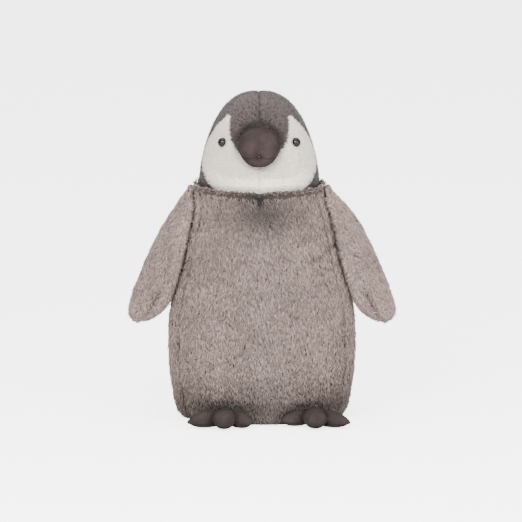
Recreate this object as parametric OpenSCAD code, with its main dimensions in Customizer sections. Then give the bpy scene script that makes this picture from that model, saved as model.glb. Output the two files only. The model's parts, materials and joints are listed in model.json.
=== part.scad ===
// Plush penguin standing on its padded base, with a stuffed beak, flippers and three-toed feet.
// The penguin faces -Y and its own left is +X. The origin is on the floor under the body.

/* [Body] */
// Width of the body across the flanks, over the pile
body_w = 202; // [185:1:245]
// Depth of the body from belly to back, over the pile
body_d = 156; // [130:1:190]
// Height of the collar, where the body's pile meets the head
collar_z = 258; // [215:1:310]
// Thickness of the body's long pile with its backing
body_pile = 8; // [5:0.5:10]

/* [Head] */
// Width of the head at its widest level
head_w = 133; // [112:1:160]
// Height of the head above the collar
head_h = 101; // [84:1:122]
// Thickness of the head's short pile with its backing
head_pile = 4; // [3:0.5:5]
// Offset of the head to the penguin's own left
head_shift = -3; // [-5:0.5:5]

/* [Beak and eyes] */
// Width of the beak at its root
beak_w = 47; // [38:1:56]
// Height of the beak at its root
beak_h = 42; // [34:1:50]
// How far the beak reaches out from the face
beak_reach = 29; // [20:1:44]
// Diameter of an eye
eye_d = 10.5; // [8:0.5:13]
// Spacing of the two eyes, centre to centre
eye_gap = 80; // [70:1:90]

/* [Wings] */
// Height of a wing from its tip to the shoulder seam
wing_h = 150; // [125:1:176]
// Thickness of a wing, over the pile
wing_t = 24; // [20:1:28]
// Thickness of the wing's pile with its backing
wing_pile = 7; // [5:0.5:9]

/* [Feet] */
// Spacing of the two feet, centre to centre
foot_gap = 92; // [80:1:112]
// Height of a foot at the seam
foot_h = 21; // [16:1:25]
// How far the middle toe reaches out from the foot's centre
toe_reach = 32; // [26:1:40]
// Offset of both feet to the penguin's own left
foot_shift = 7; // [-7:0.5:7]
// Thickness of the suede cloth
suede = 1.5; // [1:0.1:2]

/* [Hidden] */
$fn = 96;

gap = 0.5;                            // clearance between the stuffing and its cloth
base_t = 3;                           // thickness of the base panel
pivot_z = collar_z + 0.3 * head_h;    // centre of the ball on which the head turns
ball_r = norm([head_w / 2, pivot_z - collar_z]);   // radius of the head's tucked-in ball
socket_r = ball_r + 1;                // radius of the hollow that takes the ball
tuck = 46;                            // angle from straight down to the head's lower edge
plug_r = ball_r - 12;                 // radius of the stuffing's own ball
plug_tuck = 30;                       // angle from straight down to the neck wad's edge
side_seam = 64;                       // angle of the side seams from the middle of the belly

// Half width and half depth of the body as shares of its width and depth, by share of its height
BODY_WIDTH = [[0, 0.85], [0.054, 0.93], [0.13, 0.965], [0.235, 1], [0.41, 1], [0.53, 0.96],
              [0.61, 0.9], [0.685, 0.85], [0.755, 0.81], [0.835, 0.77], [0.92, 0.72], [1, 0.69]];
BODY_DEPTH = [[0, 0.78], [0.054, 0.88], [0.13, 0.95], [0.3, 1], [0.5, 0.985], [0.7, 0.94],
              [0.85, 0.915], [1, 0.905]];
BODY_LEVELS = [0, 0.02, 0.054, 0.09, 0.13, 0.18, 0.235, 0.3, 0.36, 0.41, 0.47, 0.53, 0.57, 0.61,
               0.65, 0.685, 0.72, 0.755, 0.795, 0.835, 0.875, 0.92, 0.95, 0.975, 1];
BODY_COLUMNS = 20;                    // columns of facets round half of the body

// Angles of the face's inner and outer edges from the beak, by share of the head's height
FACE_INNER = [[-0.3, 12], [0.28, 12], [0.38, 19], [0.43, 25], [0.52, 33], [0.65, 39], [0.77, 46], [1, 46]];
FACE_OUTER = [[-0.3, 38], [-0.03, 46], [0.1, 64], [0.2, 77], [0.31, 84], [0.46, 81], [0.61, 70],
              [0.7, 61], [0.77, 52], [1, 52]];
HEAD_LEVELS = [-0.11, -0.03, 0.04, 0.1, 0.17, 0.24, 0.31, 0.38, 0.45, 0.52, 0.59, 0.65, 0.71, 0.77,
               0.82, 0.87, 0.91, 0.95, 0.975, 0.99, 1];
FACE_ROWS = [1, 14];                  // rows of facets between which the white face lies
CHIN_ROW = 8;                         // row at the beak's root, below which the two sides join
FACE_COLUMNS = [3, 8, 17];            // columns up to the inner edge, the outer edge and the back

// Half breadth, half thickness, turn and clearance from the flank of a wing, by share of its height
WING_BREADTH = [[0, 0], [0.01, 9], [0.036, 17], [0.075, 24], [0.125, 28], [0.19, 30], [0.35, 30],
                [0.515, 29], [0.69, 27], [0.86, 24], [0.94, 19], [0.97, 17], [0.99, 12], [1, 0]];
WING_THICKNESS = [[0, 0], [0.01, 0.42], [0.036, 0.75], [0.075, 0.92], [0.125, 1], [0.35, 1],
                  [0.515, 0.96], [0.69, 0.84], [0.79, 0.68], [0.86, 0.52], [0.94, 0.34],
                  [0.97, 0.27], [0.99, 0.18], [1, 0]];
WING_TURN = [[0, 42], [0.19, 39], [0.35, 36], [0.515, 31], [0.69, 22], [0.86, 10], [0.94, 2], [1, 0]];
WING_CLEARANCE = [[0, 34], [0.01, 24], [0.036, 17], [0.075, 10], [0.125, 4.5], [0.18, 1.5],
                  [0.35, 0.9], [0.9, 0.9], [0.97, 0.8], [0.99, 1.6], [1, 5.3]];
WING_LEVELS = [0, 0.01, 0.036, 0.075, 0.125, 0.19, 0.27, 0.35, 0.43, 0.515, 0.6, 0.69, 0.78, 0.86,
               0.91, 0.94, 0.97, 0.99, 1];
WING_COLUMNS = 12;                    // columns of facets on each face of a wing

// Each toe's direction from straight ahead, and its reach and half width as shares of the middle toe's
TOES = [[-54, 1, 0.74], [6, 1, 1], [61, 1.34, 0.84]];
toe_w = 14;                           // half width of the middle toe
toe_heel = 14;                        // how far a toe runs back behind the foot's centre
FOOT_COLUMNS = 40;                    // columns of facets round a foot

fur = [0.66, 0.60, 0.58];
hood_grey = [0.49, 0.44, 0.42];
face_white = [0.93, 0.90, 0.86];
suede_grey = [0.32, 0.28, 0.27];
wadding = [0.96, 0.96, 0.93];

// ---- Curves and closed solids on grids of points ----

function span(p, x, i = 0) = (i >= len(p) - 2 || x < p[i + 1][0]) ? i : span(p, x, i + 1);
function slope(p, i) =
    let (a = max(i - 1, 0), b = min(i + 1, len(p) - 1))
    (p[b][1] - p[a][1]) / (p[b][0] - p[a][0]);
// The height at x of the smooth curve through the points p
function curve(p, x) =
    let (i = span(p, x), h = p[i + 1][0] - p[i][0], t = (x - p[i][0]) / h, u = 1 - t)
    p[i][1] * (1 + 2 * t) * u * u + slope(p, i) * h * t * u * u
    + p[i + 1][1] * t * t * (3 - 2 * t) - slope(p, i + 1) * h * t * t * u;
function flat(lists) = [for (list = lists) each list];
function steps(from, to, count) = [for (i = [0:count]) from + (to - from) * i / count];

// The point of a level ring of half width a and half depth b at an angle from straight ahead
function on_ring(z, cx, a, b, angle) = a == 0 ? [cx, 0, z] : [cx + a * sin(angle), -b * cos(angle), z];

// A closed panel of cloth. Outer and inner are grids of points, and kept(i, j) says which of their
// cells belong to the panel. Rims close the panel wherever it ends, and a panel that goes all the way
// around has its first column again as its last.
module cloth_panel(outer, inner, kept, around = false) {
    rows = len(outer);
    columns = len(outer[0]);
    last = rows * columns;
    function id(i, j) = i * columns + j;
    function quad(a, b, c, d) = [[a, b, c], [a, c, d]];
    function here(i, j) = i >= 0 && i < rows - 1 && (around || (j >= 0 && j < columns - 1)) && kept(i, j);
    function cell(i, j) =
        let (a = id(i, j), b = id(i + 1, j), c = id(i + 1, j + 1), d = id(i, j + 1))
        concat(
            quad(a, b, c, d),
            quad(last + a, last + d, last + c, last + b),
            here(i - 1, j) ? [] : quad(a, d, last + d, last + a),
            here(i + 1, j) ? [] : quad(b, last + b, last + c, c),
            here(i, j - 1) ? [] : quad(b, a, last + a, last + b),
            here(i, j + 1) ? [] : quad(c, last + c, last + d, d)
        );
    polyhedron(
        concat(flat(outer), flat(inner)),
        [for (i = [0:rows - 2], j = [0:columns - 2]) if (here(i, j)) each cell(i, j)]
    );
}

// A closed solid on rings of points, whose first and last rings have shrunk to one point each
module ring_solid(rings) {
    rows = len(rings);
    columns = len(rings[0]);
    top = 1 + (rows - 2) * columns;
    function id(i, j) = i == 0 ? 0 : i == rows - 1 ? top : 1 + (i - 1) * columns + j % columns;
    polyhedron(
        concat([rings[0][0]], flat([for (i = [1:rows - 2]) rings[i]]), [rings[rows - 1][0]]),
        concat(
            [for (j = [0:columns - 1]) [id(0, j), id(1, j), id(1, j + 1)]],
            [for (i = [1:rows - 3], j = [0:columns - 1]) [id(i, j), id(i + 1, j), id(i + 1, j + 1)]],
            [for (i = [1:rows - 2], j = [0:columns - 1]) [id(i, j), id(i + 1, j + 1), id(i, j + 1)]]
        )
    );
}

// ---- Body ----

// Radius at height z of a ball about the head's pivot
function ball_at(r, z) = abs(z - pivot_z) < r ? sqrt(r * r - pow(z - pivot_z, 2)) : 0;
// The body's middle follows the head's offset as it nears the collar
function body_x(z) = let (t = min(max((z / collar_z - 0.85) / 0.13, 0), 1)) head_shift * t * t * (3 - 2 * t);
function body_a(z) = max(body_w / 2 * curve(BODY_WIDTH, z / collar_z), ball_at(socket_r, z) + 3);
function body_b(z) = max(body_d / 2 * curve(BODY_DEPTH, z / collar_z), ball_at(socket_r, z) + 3);
function lining_a(z) = max(body_a(z) - body_pile, ball_at(socket_r, z) + 0.2);
function lining_b(z) = max(body_b(z) - body_pile, ball_at(socket_r, z) + 0.2);

module body_panel(from, to, mirrored = false) {
    levels = [for (t = BODY_LEVELS) t * collar_z];
    side = mirrored ? -1 : 1;
    angles = steps(from, to, round(BODY_COLUMNS * (to - from) / 180));
    turned = mirrored ? [for (i = [len(angles) - 1:-1:0]) -angles[i]] : angles;
    cloth_panel(
        [for (z = levels) [for (g = turned) on_ring(z, body_x(z), body_a(z), body_b(z), g)]],
        [for (z = levels) [for (g = turned) on_ring(z, body_x(z), lining_a(z), lining_b(z), g)]],
        function(i, j) true
    );
}

module body_base() {
    color(hood_grey)
    linear_extrude(base_t)
    polygon([for (g = [0:9:351]) [lining_a(0) * sin(g), -lining_b(0) * cos(g)]]);
}

pouch_a = 0.68 * body_w / 2;          // half width of the pouch of beans
pouch_b = 0.66 * body_d / 2;          // half depth of the pouch of beans
pouch_h = 32;                         // height of the pouch of beans
pouch_skin = 1.2;                     // thickness of the pouch's cloth

// Rings of the pouch's shape, grown by the given distance, from its underside up
function pouch_rings(grow, columns) = [
    for (e = [-90, -70, -45, -20, 0, 20, 40, 60, 75, 90])
    let (
        z = base_t + 1 + pouch_h / 2 + (pouch_h / 2 + grow) * sin(e),
        share = abs(e) == 90 ? 0 : pow(cos(e), 0.7)
    )
    [for (g = [0:360 / columns:359]) on_ring(z, 0, share * (pouch_a + grow), share * (pouch_b + grow), g)]
];

module bean_pouch() {
    color(face_white) difference() {
        ring_solid(pouch_rings(0, 30));
        ring_solid(pouch_rings(-pouch_skin, 30));
    }
}

module bean_fill() {
    color("linen") ring_solid(pouch_rings(-pouch_skin - gap / 2, 30));
}

// The stuffing rises from over the pouch, fills the cloth and ends in the hollow for the head's ball
module body_stuffing() {
    columns = 30;
    hollow_top = pivot_z - sqrt(pow(socket_r, 2) - pow(lining_a(collar_z * 0.93) - gap, 2));
    levels = concat(
        [base_t + 2],
        [for (t = BODY_LEVELS) if (t * collar_z > base_t + 4 && t * collar_z < hollow_top - 1) t * collar_z]
    );
    over_pouch = [
        for (e = [90, 72, 55, 38, 20, 0])
        let (share = e == 90 ? 0 : pow(cos(e), 0.7))
        [base_t + 1 + pouch_h / 2 + (pouch_h / 2 + gap * 2) * sin(e),
         0, share * (pouch_a + gap * 2), share * (pouch_b + gap * 2)]
    ];
    skirt = [[base_t + 2, 0, pouch_a + gap * 2, pouch_b + gap * 2]];
    outside = [for (z = levels) [z, body_x(z), lining_a(z) - gap, lining_b(z) - gap]];
    hollow = [
        for (e = [48:-8:0])
        [pivot_z - socket_r * cos(e), head_shift, socket_r * sin(e), socket_r * sin(e)]
    ];
    color(wadding) ring_solid([
        for (r = concat(over_pouch, skirt, outside, hollow))
        [for (g = [0:360 / columns:359]) on_ring(r[0], r[1], r[2], r[3], g)]
    ]);
}

// The blank label is caught in the middle seam of the back, near the base, and lies over the pile
module care_label() {
    label_w = 20;
    label_l = 30;
    label_t = 0.6;
    label_z = 0.1 * collar_z;
    color("white")
    translate([0, body_b(label_z + label_w) + 0.4, label_z])
    cube([label_l, label_t, label_w]);
}

// ---- Neck and head ----

module neck_stuffing() {
    color(wadding)
    translate([head_shift, 0, pivot_z])
    rotate_extrude()
    polygon(concat(
        [for (e = [0:2:plug_tuck]) (ball_r - 0.5) * [sin(e), -cos(e)]],
        [for (e = [plug_tuck:-2:0]) (plug_r + 1) * [sin(e), -cos(e)]]
    ));
}

function head_z(t) = collar_z + t * head_h;
// Half width of the head at a share of its height: a ball below the collar and a dome above it
function head_a(t) =
    t < 0 ? ball_at(ball_r, head_z(t)) : t >= 1 ? 0 : head_w / 2 * pow(1 - pow(t, 1.5), 0.38);
// The head is a little less deep than wide above the collar
function head_b(t) = head_a(t) * (1 - 0.07 * min(max((t + 0.02) / 0.15, 0), 1));
head_levels = concat([(pivot_z - ball_r * cos(tuck) - collar_z) / head_h], HEAD_LEVELS);

function face_columns(t) =
    let (inner = curve(FACE_INNER, t), outer = curve(FACE_OUTER, t))
    concat(
        [for (j = [0:FACE_COLUMNS[0]]) inner * j / FACE_COLUMNS[0]],
        [for (j = [1:FACE_COLUMNS[1] - FACE_COLUMNS[0]])
            inner + (outer - inner) * j / (FACE_COLUMNS[1] - FACE_COLUMNS[0])],
        [for (j = [1:FACE_COLUMNS[2] - FACE_COLUMNS[1]])
            outer + (180 - outer) * j / (FACE_COLUMNS[2] - FACE_COLUMNS[1])]
    );

// A grid of points on the left half of the head, in from its surface by the given distance
function head_grid(inset) = [
    for (t = head_levels)
    let (
        share = 1 - inset / ball_r,
        z = pivot_z + (head_z(t) - pivot_z) * (t < 0 ? 1 : (share + (1 - t) * (1 - share))),
        a = t >= 1 ? 0 : head_a(t) - min(inset, head_a(t) * 0.8),
        b = t >= 1 ? 0 : head_b(t) - min(inset, head_b(t) * 0.8)
    )
    [for (g = face_columns(max(t, -0.3))) on_ring(z, head_shift, a, b, g)]
];

function in_face(i, j) =
    i >= FACE_ROWS[0] && i < FACE_ROWS[1]
    && (j < FACE_COLUMNS[0] ? i < CHIN_ROW : j < FACE_COLUMNS[1]);

module head_half(side) {
    translate([head_shift, 0, 0])
    scale([side, 1, 1])
    translate([-head_shift, 0, 0])
    children();
}

eye_t = 0.49;                         // share of the head's height at which the eyes sit
eye_turn = asin(eye_gap / 2 / head_a(eye_t));   // angle of an eye from straight ahead
eye_tilt = 21;                        // how far an eye looks up

// Puts its children on the face at the left eye, with +Z pointing out of the face
module at_eye() {
    translate(on_ring(head_z(eye_t), head_shift, head_a(eye_t), head_b(eye_t), eye_turn))
    rotate([90 - eye_tilt, 0, atan2(sin(eye_turn) * 0.93, cos(eye_turn))])
    children();
}

module hood() {
    color(hood_grey) cloth_panel(head_grid(0), head_grid(head_pile), function(i, j) !in_face(i, j));
}

stem_r = 1.5;                         // radius of an eye's stem
module face() {
    color(face_white) difference() {
        cloth_panel(head_grid(0), head_grid(head_pile), function(i, j) in_face(i, j));
        at_eye() translate([0, 0, -head_pile * 2]) cylinder(h = head_pile * 4, r = stem_r + 0.05, $fn = 32);
    }
}

// A domed eye with its stem, which the washer locks inside the head
module eye() {
    dome_h = eye_d * 0.42;
    dome_r = (pow(eye_d / 2, 2) + pow(dome_h, 2)) / (2 * dome_h);
    color([0.05, 0.05, 0.05]) at_eye() {
        translate([0, 0, 0.5]) rotate_extrude() intersection() {
            translate([0, dome_h - dome_r]) circle(dome_r);
            square([eye_d, dome_h]);
        }
        translate([0, 0, -head_pile - 7]) cylinder(h = head_pile + 7.5, r = stem_r, $fn = 32);
    }
}

module eye_washer() {
    color("white") at_eye() translate([0, 0, -head_pile - 3]) difference() {
        cylinder(h = 1.5, r = 7);
        translate([0, 0, -1]) cylinder(h = 4, r = stem_r + 0.05, $fn = 32);
    }
}

module head_stuffing() {
    columns = 30;
    inset = head_pile + gap * 2;
    share = 1 - inset / ball_r;
    bottom = [
        for (e = [0:9:45])
        [pivot_z - plug_r * cos(e), plug_r * sin(e), plug_r * sin(e)]
    ];
    sides = [
        for (t = [0.02:0.09:0.92])
        [pivot_z + (head_z(t) - pivot_z) * (share + (1 - t) * (1 - share)),
         head_a(t) - inset, head_b(t) - inset]
    ];
    top = [[pivot_z + (head_z(1) - pivot_z) * share, 0, 0]];
    color(wadding) difference() {
        ring_solid([
            for (r = concat(bottom, sides, top))
            [for (g = [0:360 / columns:359]) on_ring(r[0], head_shift, r[1], r[2], g)]
        ]);
        for (side = [-1, 1]) head_half(side) at_eye() translate([0, 0, -head_pile - 9])
            cylinder(h = 16, r = 8);
    }
}

// ---- Beak ----

beak_t = 0.47;                        // share of the head's height at the middle of the beak
beak_drop = 8;                        // how far the beak's tip hangs below its middle
beak_seam = -22;                      // angle of the beak's side seams below its middle

function face_y(x, z) =
    let (t = (z - collar_z) / head_h, a = head_a(t), b = head_b(t))
    -b * sqrt(max(1 - pow(x / a, 2), 0));
// A point of the beak: angle g round it, and s from 0 at the root to 1 at the tip
function beak_point(g, s, inset) =
    let (
        w = beak_w / 2 - inset, h = beak_h / 2 - inset, z0 = head_z(beak_t),
        x = w * cos(g), z = h * sin(g),
        root = face_y(x, z0 + z) - 0.4,
        tip = face_y(0, z0) - beak_reach + inset,
        r = s == 1 ? 0 : pow(cos(90 * s), 0.8), f = sin(90 * s)
    )
    s == 1 ? [head_shift, tip, z0 - beak_drop]
    : [head_shift + x * r, root + (tip - root) * f, z0 + z * r - beak_drop * f];
function beak_grid(angles, inset) = [
    for (s = [1, 0.93, 0.84, 0.7, 0.55, 0.4, 0.25, 0.1, 0])
    [for (g = angles) beak_point(g, s, inset)]
];

module beak_panel(angles) {
    color(suede_grey) cloth_panel(beak_grid(angles, 0), beak_grid(angles, suede), function(i, j) true);
}

module beak_stuffing() {
    angles = [for (g = [0:15:345]) g];
    inset = suede + gap;
    z0 = head_z(beak_t);
    back = [
        for (k = [0.6, 0.3, 0])
        [for (g = angles)
            let (x = k * (beak_w / 2 - inset) * cos(g), z = z0 + k * (beak_h / 2 - inset) * sin(g))
            [head_shift + x, face_y(x, z) - 0.9, z]]
    ];
    front = [for (row = beak_grid(angles, inset)) [for (p = row) p - [0, 0.5, 0]]];
    color(wadding) ring_solid(concat(front, back));
}

// ---- Wings ----

wing_z = collar_z - 1 - wing_h;       // height of a wing's tip
function wing_level(t) = wing_z + t * wing_h;
function wing_edge(t, half_w, half_t) =
    let (g = curve(WING_TURN, t)) norm([half_w * sin(g), half_t * cos(g)]);
function wing_w(t) = max(curve(WING_BREADTH, t), 0);
function wing_thick(t) = wing_t / 2 * max(curve(WING_THICKNESS, t), 0);
// The middle of a wing keeps its inner edge at its clearance from the flank
function wing_x(t, side) =
    let (z = min(wing_level(t), collar_z))
    body_a(z) + side * body_x(z) + curve(WING_CLEARANCE, t) + wing_edge(t, wing_w(t), wing_thick(t));
function wing_y(t) = -6 * (1 - t);

// A point of a wing on the given side of the body, at an angle g round it from its outer face
function wing_point(t, g, inset, side) =
    let (
        end = t == 0 || t == 1,
        cut = min(inset, wing_thick(t) * 0.6),
        w = end ? 0 : wing_w(t) - cut,
        h = end ? 0 : wing_thick(t) - cut,
        at = 0.5 + (t - 0.5) * (1 - 2 * inset / wing_h),
        turn = curve(WING_TURN, t),
        middle = [wing_x(at, side), wing_y(at), wing_level(at)]
    )
    end ? middle
    : middle + [h * cos(g) * cos(turn) + w * sin(g) * sin(turn),
                w * sin(g) * cos(turn) - h * cos(g) * sin(turn), 0];
function wing_grid(angles, inset, side) =
    [for (t = WING_LEVELS) [for (g = angles) wing_point(t, g, inset, side)]];

module wing_panel(from, side) {
    angles = steps(from, from + 180, WING_COLUMNS);
    color(fur)
    scale([side, 1, 1])
    cloth_panel(wing_grid(angles, 0, side), wing_grid(angles, wing_pile, side), function(i, j) true);
}

module wing_stuffing(side) {
    inset = wing_pile + gap;
    color(wadding)
    scale([side, 1, 1])
    ring_solid([
        for (t = WING_LEVELS)
        [for (g = [0:15:345])
            let (p = wing_point(t, g, inset, side), q = wing_point(t, g + 180, inset, side))
            (p + q) / 2 + (p - q) * 0.46]
    ]);
}

// ---- Feet ----

function foot_x(shift) = foot_gap / 2 + shift;
seam_a = body_a(foot_h) + 0.8;        // half width and half depth of the body over the feet's seams
seam_b = body_b(foot_h) + 0.8;
function foot_y(x) = -seam_b * sqrt(1 - pow(x / seam_a, 2)) - 3.5;

// Distance from the foot's centre to the far side of a toe, in the direction g from straight ahead
function toe_edge(g, toe, inset) =
    let (
        reach = toe_reach * toe[1] - inset, w = toe_w * toe[2] - inset, heel = toe_heel - inset,
        l = (reach + heel) / 2, m = (reach - heel) / 2, d = g - toe[0],
        a = pow(cos(d) / l, 2) + pow(sin(d) / w, 2), b = -2 * m * cos(d) / (l * l), c = m * m / (l * l) - 1
    )
    (-b + sqrt(b * b - 4 * a * c)) / (2 * a);
// Height of a toe's dome at the distance r from the foot's centre, in the direction g
function toe_height(g, r, toe, inset) =
    let (
        reach = toe_reach * toe[1] - inset, w = toe_w * toe[2] - inset, heel = toe_heel - inset,
        l = (reach + heel) / 2, m = (reach - heel) / 2, d = g - toe[0]
    )
    (foot_h - suede - 2 - inset) * sqrt(max(1 - pow((r * cos(d) - m) / l, 2) - pow(r * sin(d) / w, 2), 0));
// Distance from the foot's centre back to the seam on the body, in the direction g
function seam_edge(g, x) =
    let (
        y = foot_y(x), u = sin(g), v = -cos(g),
        a = pow(u / seam_a, 2) + pow(v / seam_b, 2),
        b = 2 * (x * u / pow(seam_a, 2) + y * v / pow(seam_b, 2)),
        c = pow(x / seam_a, 2) + pow(y / seam_b, 2) - 1,
        d = b * b - 4 * a * c
    )
    d > 0 && b < 0 ? (-b - sqrt(d)) / (2 * a) : 1000;
function foot_edge(g, x, inset) =
    min(max([for (toe = TOES) toe_edge(g, toe, inset)]), seam_edge(g, x) - inset);

foot_angles = [for (j = [0:FOOT_COLUMNS - 1]) 360 * j / FOOT_COLUMNS];

// Rings of a foot's dome from its rim up to its top
function foot_rings(x, inset, bottom) =
    let (rim = suede + 2, tops = [1, 0.985, 0.94, 0.86, 0.74, 0.6, 0.45, 0.3, 0.15, 0])
    concat(
        [[for (g = foot_angles) foot_place(g, foot_edge(g, x, inset), bottom, x)]],
        [for (s = tops) [
            for (g = foot_angles)
            let (r = s * foot_edge(g, x, inset), h = max([for (toe = TOES) toe_height(g, r, toe, inset)]))
            foot_place(g, r, rim + h, x)
        ]]
    );
function foot_place(g, r, z, x) = [x + r * sin(g), foot_y(x) - r * cos(g), z];
function closed_row(ring) = concat(ring, [ring[0]]);

module foot_top(x) {
    color(suede_grey) cloth_panel(
        [for (ring = foot_rings(x, 0, suede)) closed_row(ring)],
        [for (ring = foot_rings(x, suede, suede)) closed_row(ring)],
        function(i, j) true,
        true
    );
}

module foot_sole(x) {
    color(suede_grey)
    linear_extrude(suede)
    polygon([for (ring = [foot_rings(x, 0, 0)[0]], p = ring) [p[0], p[1]]]);
}

module foot_stuffing(x) {
    rings = foot_rings(x, suede + gap, suede + gap);
    middle = [x, foot_y(x), suede + gap];
    color(wadding) ring_solid(concat([[for (p = rings[0]) middle]], rings));
}

// ---- The whole penguin ----

left_foot = foot_x(foot_shift);
right_foot = foot_x(-foot_shift);

color(fur) body_panel(0, side_seam);  // body_front_left
color(fur) body_panel(0, side_seam, true);  // body_front_right
color(fur) body_panel(side_seam, 180);  // body_back_left
color(fur) body_panel(side_seam, 180, true);  // body_back_right
body_base();
body_stuffing();
bean_pouch();
bean_fill();
care_label();
neck_stuffing();
hood();  // hood_left
head_half(-1) hood();  // hood_right
face();  // face_left
head_half(-1) face();  // face_right
head_stuffing();
beak_panel(steps(beak_seam, 180 - beak_seam, 16));  // beak_upper
beak_panel(steps(180 - beak_seam, 360 + beak_seam, 9));  // beak_lower
beak_stuffing();
eye();  // eye_left
head_half(-1) eye();  // eye_right
eye_washer();  // eye_washer_left
head_half(-1) eye_washer();  // eye_washer_right
wing_panel(-90, 1);  // wing_left_outer
wing_panel(90, 1);  // wing_left_inner
wing_stuffing(1);  // wing_left_stuffing
wing_panel(-90, -1);  // wing_right_outer
wing_panel(90, -1);  // wing_right_inner
wing_stuffing(-1);  // wing_right_stuffing
foot_top(left_foot);  // foot_left_top
foot_sole(left_foot);  // foot_left_sole
foot_stuffing(left_foot);  // foot_left_stuffing
mirror([1, 0, 0]) foot_top(right_foot);  // foot_right_top
mirror([1, 0, 0]) foot_sole(right_foot);  // foot_right_sole
mirror([1, 0, 0]) foot_stuffing(right_foot);  // foot_right_stuffing
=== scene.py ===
"""A plush penguin in long grey pile, with a short-pile head, a suede beak and stuffed suede feet.

Every pile panel is grown on the outer face of its CAD panel, so its place and size come from the frame.
The penguin faces -Y and its own left is +X. Lengths are in metres.
"""

import json
import logging
import math
from dataclasses import dataclass, field
from enum import Enum
from typing import Callable, Optional, Sequence

import bmesh
import bpy
import numpy as np
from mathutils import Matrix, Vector
from mathutils.bvhtree import BVHTree
from mathutils.kdtree import KDTree

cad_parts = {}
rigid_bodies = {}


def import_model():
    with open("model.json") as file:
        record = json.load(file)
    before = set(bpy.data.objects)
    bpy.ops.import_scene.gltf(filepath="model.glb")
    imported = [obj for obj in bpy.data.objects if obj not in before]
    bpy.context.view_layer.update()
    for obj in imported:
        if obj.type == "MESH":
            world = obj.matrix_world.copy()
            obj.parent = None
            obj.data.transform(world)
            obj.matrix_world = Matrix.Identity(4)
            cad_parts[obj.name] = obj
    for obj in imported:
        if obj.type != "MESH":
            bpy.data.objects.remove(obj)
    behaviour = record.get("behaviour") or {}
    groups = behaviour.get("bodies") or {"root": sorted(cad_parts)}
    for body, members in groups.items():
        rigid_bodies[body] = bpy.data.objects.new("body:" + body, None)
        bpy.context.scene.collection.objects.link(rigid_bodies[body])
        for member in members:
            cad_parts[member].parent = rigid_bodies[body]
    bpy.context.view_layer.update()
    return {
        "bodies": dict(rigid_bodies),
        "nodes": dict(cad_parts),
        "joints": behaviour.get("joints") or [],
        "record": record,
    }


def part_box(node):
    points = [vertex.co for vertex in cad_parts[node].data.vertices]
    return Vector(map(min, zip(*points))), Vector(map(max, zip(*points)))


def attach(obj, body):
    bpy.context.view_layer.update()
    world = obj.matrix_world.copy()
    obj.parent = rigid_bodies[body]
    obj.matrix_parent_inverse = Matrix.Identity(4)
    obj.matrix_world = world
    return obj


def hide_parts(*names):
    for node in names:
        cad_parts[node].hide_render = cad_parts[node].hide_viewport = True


log = logging.getLogger("penguin")

MM = 0.001
SEED = 11
ALONG = "along"      # attribute: 0 at a lock's root and 1 at its tip
STRAND = "strand"    # attribute: a number of its own for each lock
SHADE = "shade"      # attribute: painted shade on the pile, 0 for none, and painted light below 0
BAKE_MAP = "OFBake"  # the map with one cell for each lock

Array = np.ndarray


# ---- Choices and finishes ----


class Side(Enum):
    """The penguin's own left and right, as signs of X."""

    LEFT = 1
    RIGHT = -1

    @property
    def word(self) -> str:
        """The side's name as it stands in the names of the pieces."""
        return self.name.lower()


class Nap(Enum):
    """Where the pile of a panel points."""

    BODY = "down the body, with a swirl"
    WING = "down the wing"
    HOOD = "back over the crown"
    FACE = "away from the beak"


@dataclass(frozen=True)
class Pile:
    """How one kind of pile grows.

    Attributes:
        length: Length of a lock.
        width: Width of a lock at its middle.
        depth: How far under the panel's outer face the locks are rooted.
        backing: How far under the panel's outer face the cloth that holds them lies.
        plot: Area of backing for each lock.
        lift: Angle at which a lock leaves the backing, in degrees.
        droop: Angle of the lock's outer half to the backing, in degrees.
        wander: Spread of the locks' directions, in degrees.
        swirl: Spread of the slow turns of the nap, in degrees.
        clump_plot: Area of backing for each clump of locks.
        clump_pull: Share of the way that tips lean to their clump.
        bent: Whether a lock has a bend at its middle.
    """

    length: float
    width: float
    depth: float
    backing: float
    plot: float
    lift: float
    droop: float
    wander: float
    swirl: float
    clump_plot: float
    clump_pull: float
    bent: bool


@dataclass(frozen=True)
class Dye:
    """Colours of a pile from root to tip, the dark root partly painted shade, and how much they vary."""

    root: tuple[float, float, float]
    middle: tuple[float, float, float]
    tip: tuple[float, float, float]
    strand_spread: float
    patch_spread: float
    patch_scale: float
    sheen: float


BODY_PILE = Pile(
    length=11 * MM, width=1.7 * MM, depth=3.3 * MM, backing=6.6 * MM, plot=1.75 * MM * MM, lift=34,
    droop=7, wander=13, swirl=17, clump_plot=22 * MM * MM, clump_pull=0.5, bent=True,
)
BACK_PILE = Pile(
    length=12 * MM, width=2.1 * MM, depth=3.6 * MM, backing=6.6 * MM, plot=2.7 * MM * MM, lift=34,
    droop=7, wander=17, swirl=24, clump_plot=28 * MM * MM, clump_pull=0.42, bent=True,
)
WING_PILE = Pile(
    length=9.5 * MM, width=1.6 * MM, depth=2.7 * MM, backing=5.2 * MM, plot=1.5 * MM * MM, lift=33,
    droop=6, wander=16, swirl=14, clump_plot=18 * MM * MM, clump_pull=0.4, bent=True,
)
HOOD_PILE = Pile(
    length=4.2 * MM, width=0.95 * MM, depth=2.2 * MM, backing=3.1 * MM, plot=0.62 * MM * MM, lift=38,
    droop=30, wander=24, swirl=16, clump_plot=9 * MM * MM, clump_pull=0.3, bent=False,
)
FACE_PILE = Pile(
    length=3.6 * MM, width=1.0 * MM, depth=1.9 * MM, backing=2.9 * MM, plot=0.5 * MM * MM, lift=44,
    droop=34, wander=30, swirl=22, clump_plot=8 * MM * MM, clump_pull=0.3, bent=False,
)

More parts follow.
